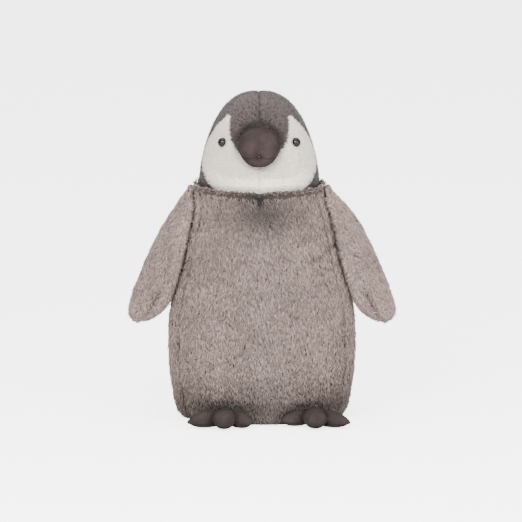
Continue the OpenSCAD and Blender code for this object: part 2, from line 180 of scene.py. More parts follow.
LONG_GREY = Dye(
    root=(0.048, 0.033, 0.028), middle=(0.172, 0.124, 0.110), tip=(0.305, 0.232, 0.208),
    strand_spread=0.32, patch_spread=0.14, patch_scale=26.0, sheen=0.1,
)
SHORT_GREY = Dye(
    root=(0.022, 0.015, 0.014), middle=(0.070, 0.051, 0.047), tip=(0.130, 0.099, 0.090),
    strand_spread=0.25, patch_spread=0.14, patch_scale=40.0, sheen=0.1,
)
SHORT_WHITE = Dye(
    root=(0.80, 0.69, 0.56), middle=(0.93, 0.86, 0.75), tip=(0.96, 0.915, 0.83),
    strand_spread=0.03, patch_spread=0.03, patch_scale=50.0, sheen=0.15,
)


# ---- Geometry on arrays ----


def unit(v: Array) -> Array:
    """Vectors scaled to length one."""
    return v / np.maximum(np.linalg.norm(v, axis=-1, keepdims=True), 1e-12)


def waves(p: Array, scale: float, phase: float) -> Array:
    """A smooth field between about -1 and 1 that varies over a length of about 1 / scale."""
    x, y, z = (p * scale).T
    return (
        np.sin(2.1 * x + 1.3 * z + phase) * np.cos(1.7 * y - 0.8 * z + 2 * phase)
        + 0.6 * np.sin(3.7 * z - 2.9 * x + 3 * phase)
        + 0.4 * np.cos(4.9 * x + 4.1 * y + 3.3 * z - phase)
    ) / 1.6


def smooth_step(x: Array, low: float, high: float) -> Array:
    """0 below low, 1 above high, and a smooth rise between."""
    t = np.clip((x - low) / (high - low), 0, 1)
    return t * t * (3 - 2 * t)


@dataclass
class Shape:
    """A mesh under construction, as points, corners and the first corner of each face."""

    points: Array
    corners: Array
    starts: Array
    along: Optional[Array] = None
    strand: Optional[Array] = None
    shade: Optional[Array] = None
    cells: Optional[Array] = None

    @staticmethod
    def of_faces(points: Array, faces: Sequence[Sequence[int]]) -> "Shape":
        """A shape from points and lists of point numbers."""
        sizes = np.array([len(f) for f in faces])
        return Shape(
            np.asarray(points, float),
            np.concatenate([np.asarray(f, int) for f in faces]),
            np.concatenate([[0], np.cumsum(sizes)[:-1]]),
        )

    def joined(self, other: "Shape") -> "Shape":
        """This shape and another as one."""

        def both(a: Optional[Array], b: Optional[Array]) -> Optional[Array]:
            """The two rows of values one after the other, if both are there."""
            return None if a is None or b is None else np.concatenate([a, b])

        return Shape(
            np.concatenate([self.points, other.points]),
            np.concatenate([self.corners, other.corners + len(self.points)]),
            np.concatenate([self.starts, other.starts + len(self.corners)]),
            both(self.along, other.along),
            both(self.strand, other.strand),
            both(self.shade, other.shade),
            both(self.cells, other.cells),
        )


# Points closer than this are one point
SAME_POINT = 0.002 * MM


def weld(mesh: bpy.types.Mesh) -> None:
    """Joins points that lie on each other and drops faces left without area."""
    work = bmesh.new()
    work.from_mesh(mesh)
    bmesh.ops.remove_doubles(work, verts=work.verts, dist=SAME_POINT)
    bmesh.ops.dissolve_degenerate(work, edges=work.edges, dist=SAME_POINT)
    work.to_mesh(mesh)
    work.free()


def make_piece(name: str, shape: Shape, material: bpy.types.Material,
               welded: bool = False) -> bpy.types.Object:
    """Makes a Blender object from a shape.

    Args:
        name: The piece's name.
        shape: Its mesh, with attributes and a map if it has them.
        material: Its material.
        welded: Whether points that lie on each other are joined.

    Returns:
        The object, linked to the scene at the origin.
    """
    mesh = bpy.data.meshes.new(name)
    mesh.vertices.add(len(shape.points))
    mesh.vertices.foreach_set("co", shape.points.astype(np.float32).ravel())
    mesh.loops.add(len(shape.corners))
    mesh.loops.foreach_set("vertex_index", shape.corners.astype(np.int32))
    mesh.polygons.add(len(shape.starts))
    mesh.polygons.foreach_set("loop_start", shape.starts.astype(np.int32))
    mesh.polygons.foreach_set("use_smooth", np.ones(len(shape.starts), bool))
    for title, values in ((ALONG, shape.along), (STRAND, shape.strand), (SHADE, shape.shade)):
        if values is not None:
            layer = mesh.attributes.new(title, "FLOAT", "POINT")
            layer.data.foreach_set("value", values.astype(np.float32))
    if shape.cells is not None:
        layer = mesh.uv_layers.new(name=BAKE_MAP)
        layer.data.foreach_set("uv", shape.cells.astype(np.float32).ravel())
    mesh.update(calc_edges=True)
    mesh.validate()
    if welded:
        weld(mesh)
    mesh.materials.append(material)
    piece = bpy.data.objects.new(name, mesh)
    bpy.context.scene.collection.objects.link(piece)
    return piece


def closed_panel(outer: Array, inner: Array) -> Shape:
    """A closed shell between two grids of points of the same size, with rims at all four edges."""
    rows, columns = outer.shape[:2]
    index = np.arange(rows * columns).reshape(rows, columns)
    far = index + rows * columns
    faces: list[tuple[int, ...]] = []
    for i in range(rows - 1):
        for j in range(columns - 1):
            a, b, c, d = index[i, j], index[i, j + 1], index[i + 1, j + 1], index[i + 1, j]
            faces.append((a, b, c, d))
            faces.append((far[i, j], far[i + 1, j], far[i + 1, j + 1], far[i, j + 1]))
    ring = (
        [(0, j) for j in range(columns)]
        + [(i, columns - 1) for i in range(1, rows)]
        + [(rows - 1, j) for j in range(columns - 2, -1, -1)]
        + [(i, 0) for i in range(rows - 2, 0, -1)]
    )
    for here, there in zip(ring, ring[1:] + ring[:1]):
        faces.append((index[there], index[here], far[here], far[there]))
    return Shape.of_faces(np.concatenate([outer.reshape(-1, 3), inner.reshape(-1, 3)]), faces)


def thick_shell(points: Array, faces: Array, normals: Array, cloth: float) -> Shape:
    """A closed shell of one cloth's thickness inside some of a surface's faces.

    Args:
        points: Points of the whole surface.
        faces: Rows of four point numbers, the faces that are kept.
        normals: Outward normals at the points.
        cloth: Thickness of the cloth.
    """
    used, numbers = np.unique(faces, return_inverse=True)
    quads = numbers.reshape(faces.shape)
    count = len(used)
    edges = np.concatenate([quads[:, [k, (k + 1) % 4]] for k in range(4)])
    known = {tuple(e) for e in edges.tolist()}
    rim = [(a, b) for a, b in known if (b, a) not in known]
    inner = quads[:, ::-1] + count
    walls = np.array([(b, a, a + count, b + count) for a, b in sorted(rim)], int).reshape(-1, 4)
    outer = points[used]
    return Shape.of_faces(
        np.concatenate([outer, outer - normals[used] * cloth]), np.concatenate([quads, inner, walls])
    )


# ---- Seams, creases and hollows ----


def on_front(points: Array) -> Array:
    """1 in front of the toy's middle and 0 behind it, with a rise over a centimetre."""
    return smooth_step(-points[:, 1], -6 * MM, 4 * MM)


class Relief:
    """Something that draws the cloth in, and paints shade on the pile where it does."""

    depth: float
    shade: float

    def weight(self, points: Array) -> Array:
        """How strongly it acts on some points, from 0 to 1."""
        raise NotImplementedError


@dataclass
class SeamLine(Relief):
    """The groove along a seam.

    Attributes:
        line: Places close together along the seam.
        depth: How deep the groove is.
        width: How far from the seam it fades.
        shade: How much painted shade darkens the pile in it.
        low: Height at which it starts.
        high: Height from which it is at its full depth.
    """

    line: Array
    depth: float
    width: float
    shade: float
    low: float = -1.0
    high: float = -0.5

    def __post_init__(self) -> None:
        """Prepares to find the nearest place of the seam."""
        self.tree = KDTree(len(self.line))
        for k, place in enumerate(self.line):
            self.tree.insert(Vector(place), k)
        self.tree.balance()

    def weight(self, points: Array) -> Array:
        """Strongest on the seam."""
        away = np.array([self.tree.find(Vector(p))[2] for p in points])
        return np.exp(-((away / self.width) ** 2)) * smooth_step(points[:, 2], self.low, self.high)


@dataclass
class Crease(Relief):
    """A fold between two places, seen from the front; it stays on the front.

    Attributes:
        start: X and Z of one end.
        end: X and Z of the other end.
        depth: How deep the fold is.
        width: How far from its line it fades.
        shade: How much painted shade darkens the pile in it.
    """

    start: tuple[float, float]
    end: tuple[float, float]
    depth: float
    width: float
    shade: float

    def weight(self, points: Array) -> Array:
        """Strongest on the line between the ends."""
        start, end = np.array(self.start), np.array(self.end)
        flat = points[:, [0, 2]]
        share = np.clip((flat - start) @ (end - start) / ((end - start) @ (end - start)), 0, 1)
        away = np.linalg.norm(flat - start - share[:, None] * (end - start), axis=1)
        front = on_front(points)
        return np.exp(-((away / self.width) ** 2)) * front


@dataclass
class Hollow(Relief):
    """A wide patch of painted shade on the front, seen from the front; with a depth it is also a shallow
    place.

    Attributes:
        middle: X and Z of its middle.
        half_width: How far it fades sideways.
        half_height: How far it fades up and down.
        depth: How deep it is; below 0 it is a swelling.
        shade: How much painted shade darkens the pile in it.
    """

    middle: tuple[float, float]
    half_width: float
    half_height: float
    depth: float
    shade: float

    def weight(self, points: Array) -> Array:
        """Strongest at the middle."""
        x = (points[:, 0] - self.middle[0]) / self.half_width
        z = (points[:, 2] - self.middle[1]) / self.half_height
        return np.exp(-(x**2 + z**2)) * on_front(points)


@dataclass
class BeakFurrow(Relief):
    """The furrow round the root of the beak, deepest over its top, with painted shade in it."""

    middle: Array
    half_width: float
    half_height: float
    depth: float
    width: float
    shade: float

    def weight(self, points: Array) -> Array:
        """Strongest on the beak's outline."""
        x = (points[:, 0] - self.middle[0]) / self.half_width
        z = (points[:, 2] - self.middle[2]) / self.half_height
        radius = np.sqrt(x**2 + z**2)
        away = (radius - 1.03) * (self.half_width + self.half_height) / 2
        above = 0.45 + 0.55 * smooth_step(z / np.maximum(radius, 0.01), -0.4, 0.8)
        return np.exp(-((away / self.width) ** 2)) * above * (points[:, 1] < 0)


@dataclass
class RoundedRim(Relief):
    """The rounding of the collar's edge.

    Attributes:
        low: Height at which it starts.
        high: Height from which it is at its full depth.
        depth: How far the edge is drawn in.
        shade: How much painted shade darkens the pile on it.
    """

    low: float
    high: float
    depth: float
    shade: float = 0.0

    def weight(self, points: Array) -> Array:
        """1 on the edge, fading downward."""
        return smooth_step(points[:, 2], self.low, self.high)


@dataclass
class Footlight(Relief):
    """Painted shade on the pile low on the body, which faces the ground."""

    low: float
    high: float
    depth: float = 0.0
    shade: float = 0.95

    def weight(self, points: Array) -> Array:
        """1 at the ground, fading upward."""
        return 1 - smooth_step(points[:, 2], self.low, self.high)


# ---- The CAD panels as ground for the pile ----


@dataclass
class Panel:
    """One CAD panel: its points, its triangles, and which of them face the outside."""

    node: str
    points: Array
    triangles: Array
    outside: Array
    normals: Array = field(default_factory=lambda: np.zeros((0, 3)))


def read_panel(node: str, thing: bpy.types.Object) -> Panel:
    """The mesh of a CAD node with its doubled points joined."""
    mesh = thing.data
    mesh.calc_loop_triangles()
    points = np.empty(len(mesh.vertices) * 3, np.float32)
    mesh.vertices.foreach_get("co", points)
    points = points.reshape(-1, 3)
    triangles = np.empty(len(mesh.loop_triangles) * 3, np.int32)
    mesh.loop_triangles.foreach_get("vertices", triangles)
    _, first, joined = np.unique(
        np.round(points / (0.01 * MM)).astype(np.int64), axis=0, return_index=True, return_inverse=True
    )
    triangles = joined.ravel()[triangles].reshape(-1, 3)
    whole = (
        (triangles[:, 0] != triangles[:, 1])
        & (triangles[:, 1] != triangles[:, 2])
        & (triangles[:, 2] != triangles[:, 0])
    )
    return Panel(node, points[first].astype(float), triangles[whole], np.zeros(whole.sum(), bool))


def face_normals(panel: Panel) -> Array:
    """The normal of each triangle of a panel, with its length twice the triangle's area."""
    a, b, c = (panel.points[panel.triangles[:, k]] for k in range(3))
    return np.cross(b - a, c - a)


class Hide:
    """A bag of CAD panels sewn together: what is outside it, and its smooth normals.

    A triangle faces the outside if a ray along its normal leaves the bag. The reliefs draw its cloth
    in and paint shade on its pile, and tint is the painted shade (above 0) and painted light (below 0)
    of its pile where none of them acts.
    """

    def __init__(self, nodes: Sequence[str], things: dict[str, bpy.types.Object]) -> None:
        """Reads the panels of the bag.

        Args:
            nodes: Names of the CAD nodes.
            things: The frame's objects by name.
        """
        self.panels = [read_panel(node, things[node]) for node in nodes]
        self.reliefs: list[Relief] = []
        self.tint = 0.0
        points = np.concatenate([p.points for p in self.panels])
        offsets = np.cumsum([0] + [len(p.points) for p in self.panels])
        triangles = np.concatenate([p.triangles + o for p, o in zip(self.panels, offsets)])
        self.tree = BVHTree.FromPolygons(points.tolist(), triangles.tolist())
        for panel in self.panels:
            self._find_outside(panel)
        self._smooth_normals()

    def _find_outside(self, panel: Panel) -> None:
        """Marks the triangles whose normals leave the bag, apart from those on the floor."""
        normals = unit(face_normals(panel))
        middles = panel.points[panel.triangles].mean(axis=1) + normals * 0.2 * MM
        panel.outside = np.array(
            [
                n[2] > -0.95 and self.tree.ray_cast(Vector(m), Vector(n))[0] is None
                for m, n in zip(middles, normals)
            ]
        )

    def _smooth_normals(self) -> None:
        """Gives each point the mean normal of the outside faces round it, across seams too."""
        sums: dict[tuple[int, int, int], Array] = {}
        keyed = []
        for panel in self.panels:
            keys = [tuple(k) for k in np.round(panel.points / (0.05 * MM)).astype(np.int64)]
            keyed.append(keys)
            for triangle, normal in zip(panel.triangles[panel.outside], face_normals(panel)[panel.outside]):
                for corner in triangle:
                    key = keys[corner]
                    sums[key] = sums.get(key, 0) + normal
        for panel, keys in zip(self.panels, keyed):
            panel.normals = unit(np.array([sums.get(k, np.zeros(3)) for k in keys]))

    def seam(self, first: int, second: int) -> Array:
        """Places about a millimetre apart along the outer seam between two panels."""
        keys = []
        for panel in (self.panels[first], self.panels[second]):
            worn = np.unique(panel.triangles[panel.outside])
            rounded = np.round(panel.points / (0.05 * MM)).astype(np.int64)
            keys.append({tuple(rounded[k]): k for k in worn})
        shared = {keys[0][k] for k in keys[0].keys() & keys[1].keys()}
        panel = self.panels[first]
        places = []
        for triangle in panel.triangles[panel.outside]:
            for a, b in zip(triangle, np.roll(triangle, -1)):
                if a in shared and b in shared:
                    start, end = panel.points[a], panel.points[b]
                    count = int(np.linalg.norm(end - start) / MM) + 2
                    places += [start + (end - start) * t for t in np.linspace(0, 1, count)]
        return np.array(places)

    def sunk(self, points: Array) -> tuple[Array, Array]:
        """How deep the reliefs draw in some points, and the painted shade that the pile gets there, painted
        light where it is below 0.
        """
        depth = np.zeros(len(points))
        shade = np.full(len(points), self.tint)
        for relief in self.reliefs:
            weight = relief.weight(points)
            depth += relief.depth * weight
            shade += relief.shade * weight
        return depth, np.clip(shade, -0.3, 1.35)

    def surface_at(self, origin: Array, direction: Array) -> Array:
        """Where a ray meets the bag."""
        place = self.tree.ray_cast(Vector(origin), Vector(direction))[0]
        if place is None:
            raise ValueError(f"no panel lies along {direction} from {origin}")
        return np.array(place)


# ---- Pile ----

UP = np.array([0.0, 0.0, 1.0])


@dataclass(frozen=True)
class NapField:
    """The direction of the nap at every point of the toy.

    Attributes:
        beak: The middle of the beak's root.
        crown: Height of the crown over the floor.
        neck: Height of the collar.
        width: Half width of the body.
        middle: X of the neck's axis.
    """

    beak: Array
    crown: float
    neck: float
    width: float
    middle: float

    def inward(self, points: Array) -> Array:
        """Level directions towards the neck's axis."""
        x, y, _ = points.T
        return unit(np.stack([self.middle - x, -y, np.zeros_like(x)], axis=1))

    def lip(self, points: Array) -> Array:
        """1 on the collar's rim and 0 just below it."""
        return smooth_step(points[:, 2], self.neck - 2.6 * MM, self.neck - 0.4 * MM)

    def at(self, nap: Nap, points: Array, normals: Array, swirl: float) -> Array:
        """Unit directions along the surface at some points of it.

        Args:
            nap: Which panel's rule holds.
            points: Places on the surface.
            normals: Unit normals there.
            swirl: Spread of the slow turns, in degrees.
        """
        x, y, z = points.T
        way = np.tile(-UP, (len(points), 1))
        if nap is Nap.BODY:
            shoulder = smooth_step(z, 0.72 * self.neck, self.neck) * smooth_step(np.abs(x), 0.2 * self.width,
                                                                                0.7 * self.width)
            way[:, 0] = -np.sign(x) * 0.8 * shoulder + 0.22 * waves(points, 14.0, 0.7)
            lip = self.lip(points)[:, None]
            way = way * (1 - lip) - self.inward(points) * lip
        elif nap is Nap.WING:
            way[:, 0] = np.sign(x) * 0.35
        elif nap is Nap.HOOD:
            way = np.stack([0.6 * x / 0.06, np.full_like(x, 1.0), -1.2 * (1 - z / self.crown) * 3], axis=1)
        else:
            way = points - self.beak
            way[:, 2] -= 0.02
        way = unit(way - normals * (way * normals).sum(axis=1, keepdims=True))
        across = np.cross(normals, way)
        turn = np.radians(swirl) * waves(points, 55.0, 1.9)[:, None]
        return way * np.cos(turn) + across * np.sin(turn)


# Each lock's cell of the map keeps this margin, as a share of the cell
CELL_MARGIN = 0.08
CELL_SPAN = 0.84


def cell_corners(count: int, numbers: Array, local: Array) -> Array:
    """Places in the map for corners that each lie in the cell of a number.

    Args:
        count: How many cells the map holds.
        numbers: The cell of each corner.
        local: Each corner's place in its cell, from 0 to 1.
    """
    side = math.ceil(math.sqrt(count))
    cell = np.stack([numbers % side, numbers // side], axis=1)
    return (cell + CELL_MARGIN + CELL_SPAN * local) / side


@dataclass
class Growth:
    """Roots for locks.

    Attributes:
        roots: Where they stand.
        normals: Which way is up.
        way: Which way they lie.
        lengths: How long they are.
        shade: How much painted shade darkens them.
        droop: How far their tips hang over an edge.
    """

    roots: Array
    normals: Array
    way: Array
    lengths: Array
    shade: Array
    droop: Array


@dataclass(frozen=True)
class Fringe:
    """Extra locks along an edge.

    Attributes:
        where: Says which points of the outer face carry them.
        way: Gives their directions.
        thickness: How many there are for each of the panel's own.
        stretch: How long they are beside the panel's own.
    """

    where: Callable[[Array], Array]
    way: Callable[[Array], Array]
    thickness: float
    stretch: float


# How locks differ from each other: shares of the pile's length and width, and degrees
LENGTHS = (0.72, 1.18)
WIDTHS = (0.75, 1.25)
LIFT_SPREAD = 7
DROOP_SPREAD = 6
CURL_SPREAD = 20
# A lock's shape: the share of its length under and over its bend, and its root and ridge beside its width
UNDER_BEND = 0.45
OVER_BEND = 0.55
ROOT_WIDTH = 0.8
RIDGE = 0.4
LOWEST = 0.5 * MM      # no part of a lock comes closer to the floor
# On the collar's rim and on a wing's cap, locks are this much shorter and hang this many millimetres
RIM_SHORTER = 0.45
RIM_HANG = 1.5
CAP_SHORTER = 0.5
CAP_HANG = 3.0
CAP_LOW = 10 * MM      # how far under the collar the cap starts
CAP_HIGH = 3 * MM      # how far under the collar it is at its full strength


class Barber:
    """Plants locks on a panel and shapes them."""

    def __init__(self, pile: Pile, naps: NapField, hide: Hide, rng: np.random.Generator) -> None:
        """Keeps the pile's rule, the nap's field, the bag and the source of chance."""
        self.pile = pile
        self.naps = naps
        self.hide = hide
        self.rng = rng

    def plant(self, panel: Panel, nap: Nap, fringe: Optional["Fringe"] = None) -> Growth:
        """Spreads roots evenly over the outside of a panel.

        Args:
            panel: The panel.
            nap: The rule for the nap's direction.
            fringe: If given, says where the roots stand and which way they lie instead.
        """
        triangles = panel.triangles[panel.outside]
        a, b, c = (panel.points[triangles[:, k]] for k in range(3))
        area = np.linalg.norm(np.cross(b - a, c - a), axis=1) / 2
        total = area.sum()
        count = int(total / self.pile.plot * (fringe.thickness if fringe else 1))
        marks = (np.arange(count) + self.rng.random(count)) / count * total
        chosen = np.searchsorted(np.cumsum(area), marks).clip(0, len(triangles) - 1)
        s, t = self.rng.random((2, count))
        fold = s + t > 1
        s, t = np.where(fold, 1 - s, s)[:, None], np.where(fold, 1 - t, t)[:, None]
        points = a[chosen] * (1 - s - t) + b[chosen] * s + c[chosen] * t
        na, nb, nc = (panel.normals[triangles[chosen, k]] for k in range(3))
        normals = unit(na * (1 - s - t) + nb * s + nc * t)
        if fringe:
            stay = fringe.where(points)
            points, normals = points[stay], normals[stay]
        way = self.naps.at(nap, points, normals, self.pile.swirl)
        lengths = self.pile.length * self.rng.uniform(*LENGTHS, len(points))
        if fringe:
            way = fringe.way(points)
            way = unit(way - normals * (way * normals).sum(axis=1, keepdims=True))
            lengths = lengths * fringe.stretch
        depth, shade = self.hide.sunk(points)
        droop = np.zeros((len(points), 3))
        if nap is Nap.BODY:
            lip = self.naps.lip(points)
            lengths = lengths * (1 - RIM_SHORTER * lip)
            droop = -UP * RIM_HANG * lip[:, None] * MM
        elif nap is Nap.WING:
            cap = smooth_step(points[:, 2], self.naps.neck - CAP_LOW, self.naps.neck - CAP_HIGH)
            lengths = lengths * (1 - CAP_SHORTER * cap)
            droop = -UP * CAP_HANG * cap[:, None] * MM
        roots = points - normals * (self.pile.depth + depth)[:, None]
        return Growth(roots, normals, way, lengths, shade, droop)

    def _clumped(self, growth: Growth, tips: Array) -> Array:
        """The tips, leaning towards the tips of the clumps that they belong to."""
        count = max(1, int(len(tips) * self.pile.plot / self.pile.clump_plot))
        leaders = self.rng.choice(len(tips), count, replace=False)
        tree = KDTree(count)
        for k, leader in enumerate(leaders):
            tree.insert(Vector(tips[leader]), k)
        tree.balance()
        owner = np.array([leaders[tree.find(Vector(tip))[1]] for tip in tips])
        pull = self.pile.clump_pull * self.rng.uniform(0.4, 1.0, len(tips))[:, None]
        return tips + (tips[owner] - tips) * pull

    def grow(self, growth: Growth) -> Shape:
        """Closed, tapered, three-sided locks, with their attributes."""
        pile = self.pile
        rng = self.rng
        n = len(growth.roots)
        up = growth.normals
        turn = np.radians(pile.wander) * rng.standard_normal(n)[:, None]
        way = growth.way * np.cos(turn) + np.cross(up, growth.way) * np.sin(turn)
        side = np.cross(way, up)
        length = growth.lengths[:, None]
        lift = np.radians(pile.lift + LIFT_SPREAD * rng.standard_normal(n))[:, None]
        droop = np.radians(pile.droop + DROOP_SPREAD * rng.standard_normal(n))[:, None]
        curl = np.radians(CURL_SPREAD * rng.standard_normal(n))[:, None]
        middle = growth.roots + UNDER_BEND * length * (way * np.cos(lift) + up * np.sin(lift))
        outward = way * np.cos(curl) + side * np.sin(curl)
        rise = outward * np.cos(droop) + up * np.sin(droop)
        tips = middle + OVER_BEND * length * rise + growth.droop
        tips = self._clumped(growth, tips)
        width = pile.width * rng.uniform(*WIDTHS, n)[:, None]
        rings = [(growth.roots, ROOT_WIDTH * width)] + ([(middle, width)] if pile.bent else [])
        layers = []
        for centre, wide in rings:
            layers += [centre + side * wide / 2, centre - side * wide / 2, centre + up * wide * RIDGE]
        points = np.stack(layers + [tips], axis=1)
        points[:, :, 2] = np.maximum(points[:, :, 2], LOWEST)
        return self._sewn(points, growth, n)

    def _sewn(self, points: Array, growth: Growth, n: int) -> Shape:
        """The faces, attributes and map of locks whose points stand in rows."""
        bent = self.pile.bent
        right, left, top = 0, 1, 2
        if bent:
            high, low, crest, tip = 3, 4, 5, 6
            faces = [
                (right, high, crest, top), (left, top, crest, low), (left, low, high, right),
                (high, tip, crest), (low, crest, tip), (low, tip, high), (right, top, left),
            ]
            along = [0, 0, 0.05, 0.5, 0.5, 0.55, 1]
            across = [1, 0, 0.5, 1, 0, 0.5, 0.5]
        else:
            tip = 3
            faces = [(right, tip, top), (left, top, tip), (left, tip, right), (right, top, left)]
            along = [0, 0, 0.1, 1]
            across = [1, 0, 0.5, 0.5]
        each = points.shape[1]
        corners = np.concatenate([np.array(f) for f in faces])
        sizes = np.array([len(f) for f in faces])
        starts = np.concatenate([[0], np.cumsum(sizes)[:-1]])
        numbers = np.arange(n)
        local = np.stack([np.array(across, float)[corners], np.array(along, float)[corners]], axis=1)
        shape = Shape(
            points.reshape(-1, 3),
            (numbers[:, None] * each + corners).ravel(),
            (numbers[:, None] * len(corners) + starts).ravel(),
            np.tile(along, n),
            np.repeat(self.rng.random(n), each),
            np.repeat(growth.shade, each),
        )
        shape.cells = np.concatenate(
            [np.repeat(numbers, len(corners))[:, None], np.tile(local, (n, 1))], axis=1
        )
        return shape

    def backing(self, panel: Panel) -> Shape:
        """The panel's own cloth, with its outer face drawn in to where the locks are rooted."""
        depth, shade = self.hide.sunk(panel.points)
        deep = self.pile.backing + np.minimum(depth, 0)
        sunk = panel.points - panel.normals * deep[:, None]
        triangles = panel.triangles
        count = len(triangles)
        spots = np.tile(np.array([[0.1, 0.1], [0.9, 0.1], [0.5, 0.9]]), (count, 1))
        cells = np.concatenate([np.repeat(np.arange(count), 3)[:, None], spots], axis=1)
        # Along 0 gives the backing the root colour, partly painted shade under the locks; it also takes the
        # reliefs' painted shade
        return Shape(
            sunk, triangles.ravel(), np.arange(count) * 3,
            np.zeros(len(sunk)), np.full(len(sunk), 0.5), shade, cells,
        )


def packed_cells(shape: Shape, first_count: int, first_corners: int) -> None:
    """Numbers the cells of a joined shape and turns them into places in one map."""
    numbers = shape.cells[:, 0].astype(int)
    numbers[first_corners:] += first_count
    shape.cells = cell_corners(numbers.max() + 1, numbers, shape.cells[:, 1:])


def pile_shape(backing: Shape, locks: Shape) -> Shape:
    """The backing and its locks as one shape, with one map."""
    whole = backing.joined(locks)
    packed_cells(whole, len(backing.starts), len(backing.corners))
    return whole


# ---- Materials ----


class Recipe:
    """A node material in the making."""

    def __init__(self, name: str) -> None:
        """Starts a material with a Principled shader."""
        self.material = bpy.data.materials.new(name)
        self.material.use_nodes = True
        self.tree = self.material.node_tree
        self.shader = self.tree.nodes["Principled BSDF"]

    def node(self, kind: str, **settings: object) -> bpy.types.Node:
        """Adds a node and sets its properties."""
        made = self.tree.nodes.new(kind)
        for key, value in settings.items():
            setattr(made, key, value)
        return made

    def link(self, source: bpy.types.NodeSocket, target: bpy.types.NodeSocket) -> None:
        """Joins two sockets."""
        self.tree.links.new(source, target)

    def set(self, **values: object) -> None:
        """Sets the shader's sockets; an underscore in a name stands for a space."""
        for key, value in values.items():
            self.shader.inputs[key.replace("_", " ")].default_value = value

    def attribute(self, title: str) -> bpy.types.NodeSocket:
        """The number that an attribute holds."""
        return self.node("ShaderNodeAttribute", attribute_name=title).outputs["Fac"]

    def place(self) -> bpy.types.NodeSocket:
        """The object's own coordinates."""
        return self.node("ShaderNodeTexCoord").outputs["Object"]

    def noise(self, scale: float, detail: float = 3.0, roughness: float = 0.5) -> bpy.types.NodeSocket:
        """Noise in the object's coordinates."""
        made = self.node("ShaderNodeTexNoise")
        made.inputs["Scale"].default_value = scale
        made.inputs["Detail"].default_value = detail
        made.inputs["Roughness"].default_value = roughness
        self.link(self.place(), made.inputs["Vector"])
        return made.outputs["Fac"]

    def ramp(self, value: bpy.types.NodeSocket, stops: Sequence[tuple[float, tuple]]) -> bpy.types.NodeSocket:
        """Colours along a value."""
        made = self.node("ShaderNodeValToRGB")
        elements = made.color_ramp.elements
        while len(elements) < len(stops):
            elements.new(0.5)
        for element, (position, colour) in zip(elements, stops):
            element.position = position
            element.color = (*colour, 1.0)
        self.link(value, made.inputs["Fac"])
        return made.outputs["Color"]

    def range(self, value: bpy.types.NodeSocket, low: float, high: float,
              start: float = 0.0, end: float = 1.0) -> bpy.types.NodeSocket:
        """A value taken from one range to another."""
        made = self.node("ShaderNodeMapRange", clamp=False)
        made.inputs["From Min"].default_value = start
        made.inputs["From Max"].default_value = end
        made.inputs["To Min"].default_value = low
        made.inputs["To Max"].default_value = high
        self.link(value, made.inputs["Value"])
        return made.outputs["Result"]

    def times(self, colour: bpy.types.NodeSocket, value: bpy.types.NodeSocket) -> bpy.types.NodeSocket:
        """A colour scaled by a value."""
        made = self.node("ShaderNodeVectorMath", operation="SCALE")
        self.link(colour, made.inputs[0])
        self.link(value, made.inputs["Scale"])
        return made.outputs[0]

    def bump(self, height: bpy.types.NodeSocket, distance: float, strength: float = 1.0) -> None:
        """Raises the surface by a height."""
        made = self.node("ShaderNodeBump")
        made.inputs["Distance"].default_value = distance
        made.inputs["Strength"].default_value = strength
        self.link(height, made.inputs["Height"])
        self.link(made.outputs["Normal"], self.shader.inputs["Normal"])


def pile_material(name: str, dye_and_root_shade: Dye) -> bpy.types.Material:
    """Pile: darker at the roots, partly its own tone and partly painted shade, paler at the tips, each lock a
    little different.
    """
    recipe = Recipe(name)
    colour = recipe.ramp(
        recipe.attribute(ALONG), [(0.0, dye_and_root_shade.root), (0.45, dye_and_root_shade.middle), (1.0, dye_and_root_shade.tip)]
    )
    spread = recipe.range(recipe.attribute(STRAND), 1 - dye_and_root_shade.strand_spread, 1 + dye_and_root_shade.strand_spread)
    patch = recipe.range(
        recipe.noise(dye_and_root_shade.patch_scale, 4.0), 1 - dye_and_root_shade.patch_spread, 1 + dye_and_root_shade.patch_spread, 0.3, 0.7
    )
    # Painted shade from the shade attribute darkens the pile; below 0 it is painted light that brightens it
    shadow = recipe.range(recipe.attribute(SHADE), 1.0, 0.4)
    colour = recipe.times(recipe.times(recipe.times(colour, spread), patch), shadow)
    recipe.link(colour, recipe.shader.inputs["Base Color"])
    recipe.set(Roughness=0.9, Specular_IOR_Level=0.18, Sheen_Weight=dye_and_root_shade.sheen, Sheen_Roughness=0.5)
    return recipe.material


def suede_material(name: str, shade: tuple[float, float, float]) -> bpy.types.Material:
    """Brushed suede cloth with a fine grain and rubbed patches, darkened by painted shade from the shade
    attribute.

    Args:
        name: The material's name.
        shade: Its mean colour.
    """
    recipe = Recipe(name)
    grain = recipe.noise(1900.0, 4.0, 0.65)
    rubbed = recipe.noise(70.0, 5.0, 0.6)
    dark = tuple(0.72 * c for c in shade)
    pale = tuple(1.32 * c for c in shade)
    colour = recipe.ramp(rubbed, [(0.3, dark), (0.5, shade), (0.72, pale)])
    colour = recipe.times(colour, recipe.range(grain, 0.8, 1.2, 0.3, 0.7))
    # Painted shade from the shade attribute, in seams, gathers and furrows
    colour = recipe.times(colour, recipe.range(recipe.attribute(SHADE), 1.0, 0.25))
    recipe.link(colour, recipe.shader.inputs["Base Color"])
    recipe.link(recipe.range(rubbed, 0.78, 0.95, 0.3, 0.7), recipe.shader.inputs["Roughness"])
    recipe.set(Specular_IOR_Level=0.03, Sheen_Weight=0.0)
    recipe.bump(grain, 0.2 * MM, 0.4)
    return recipe.material


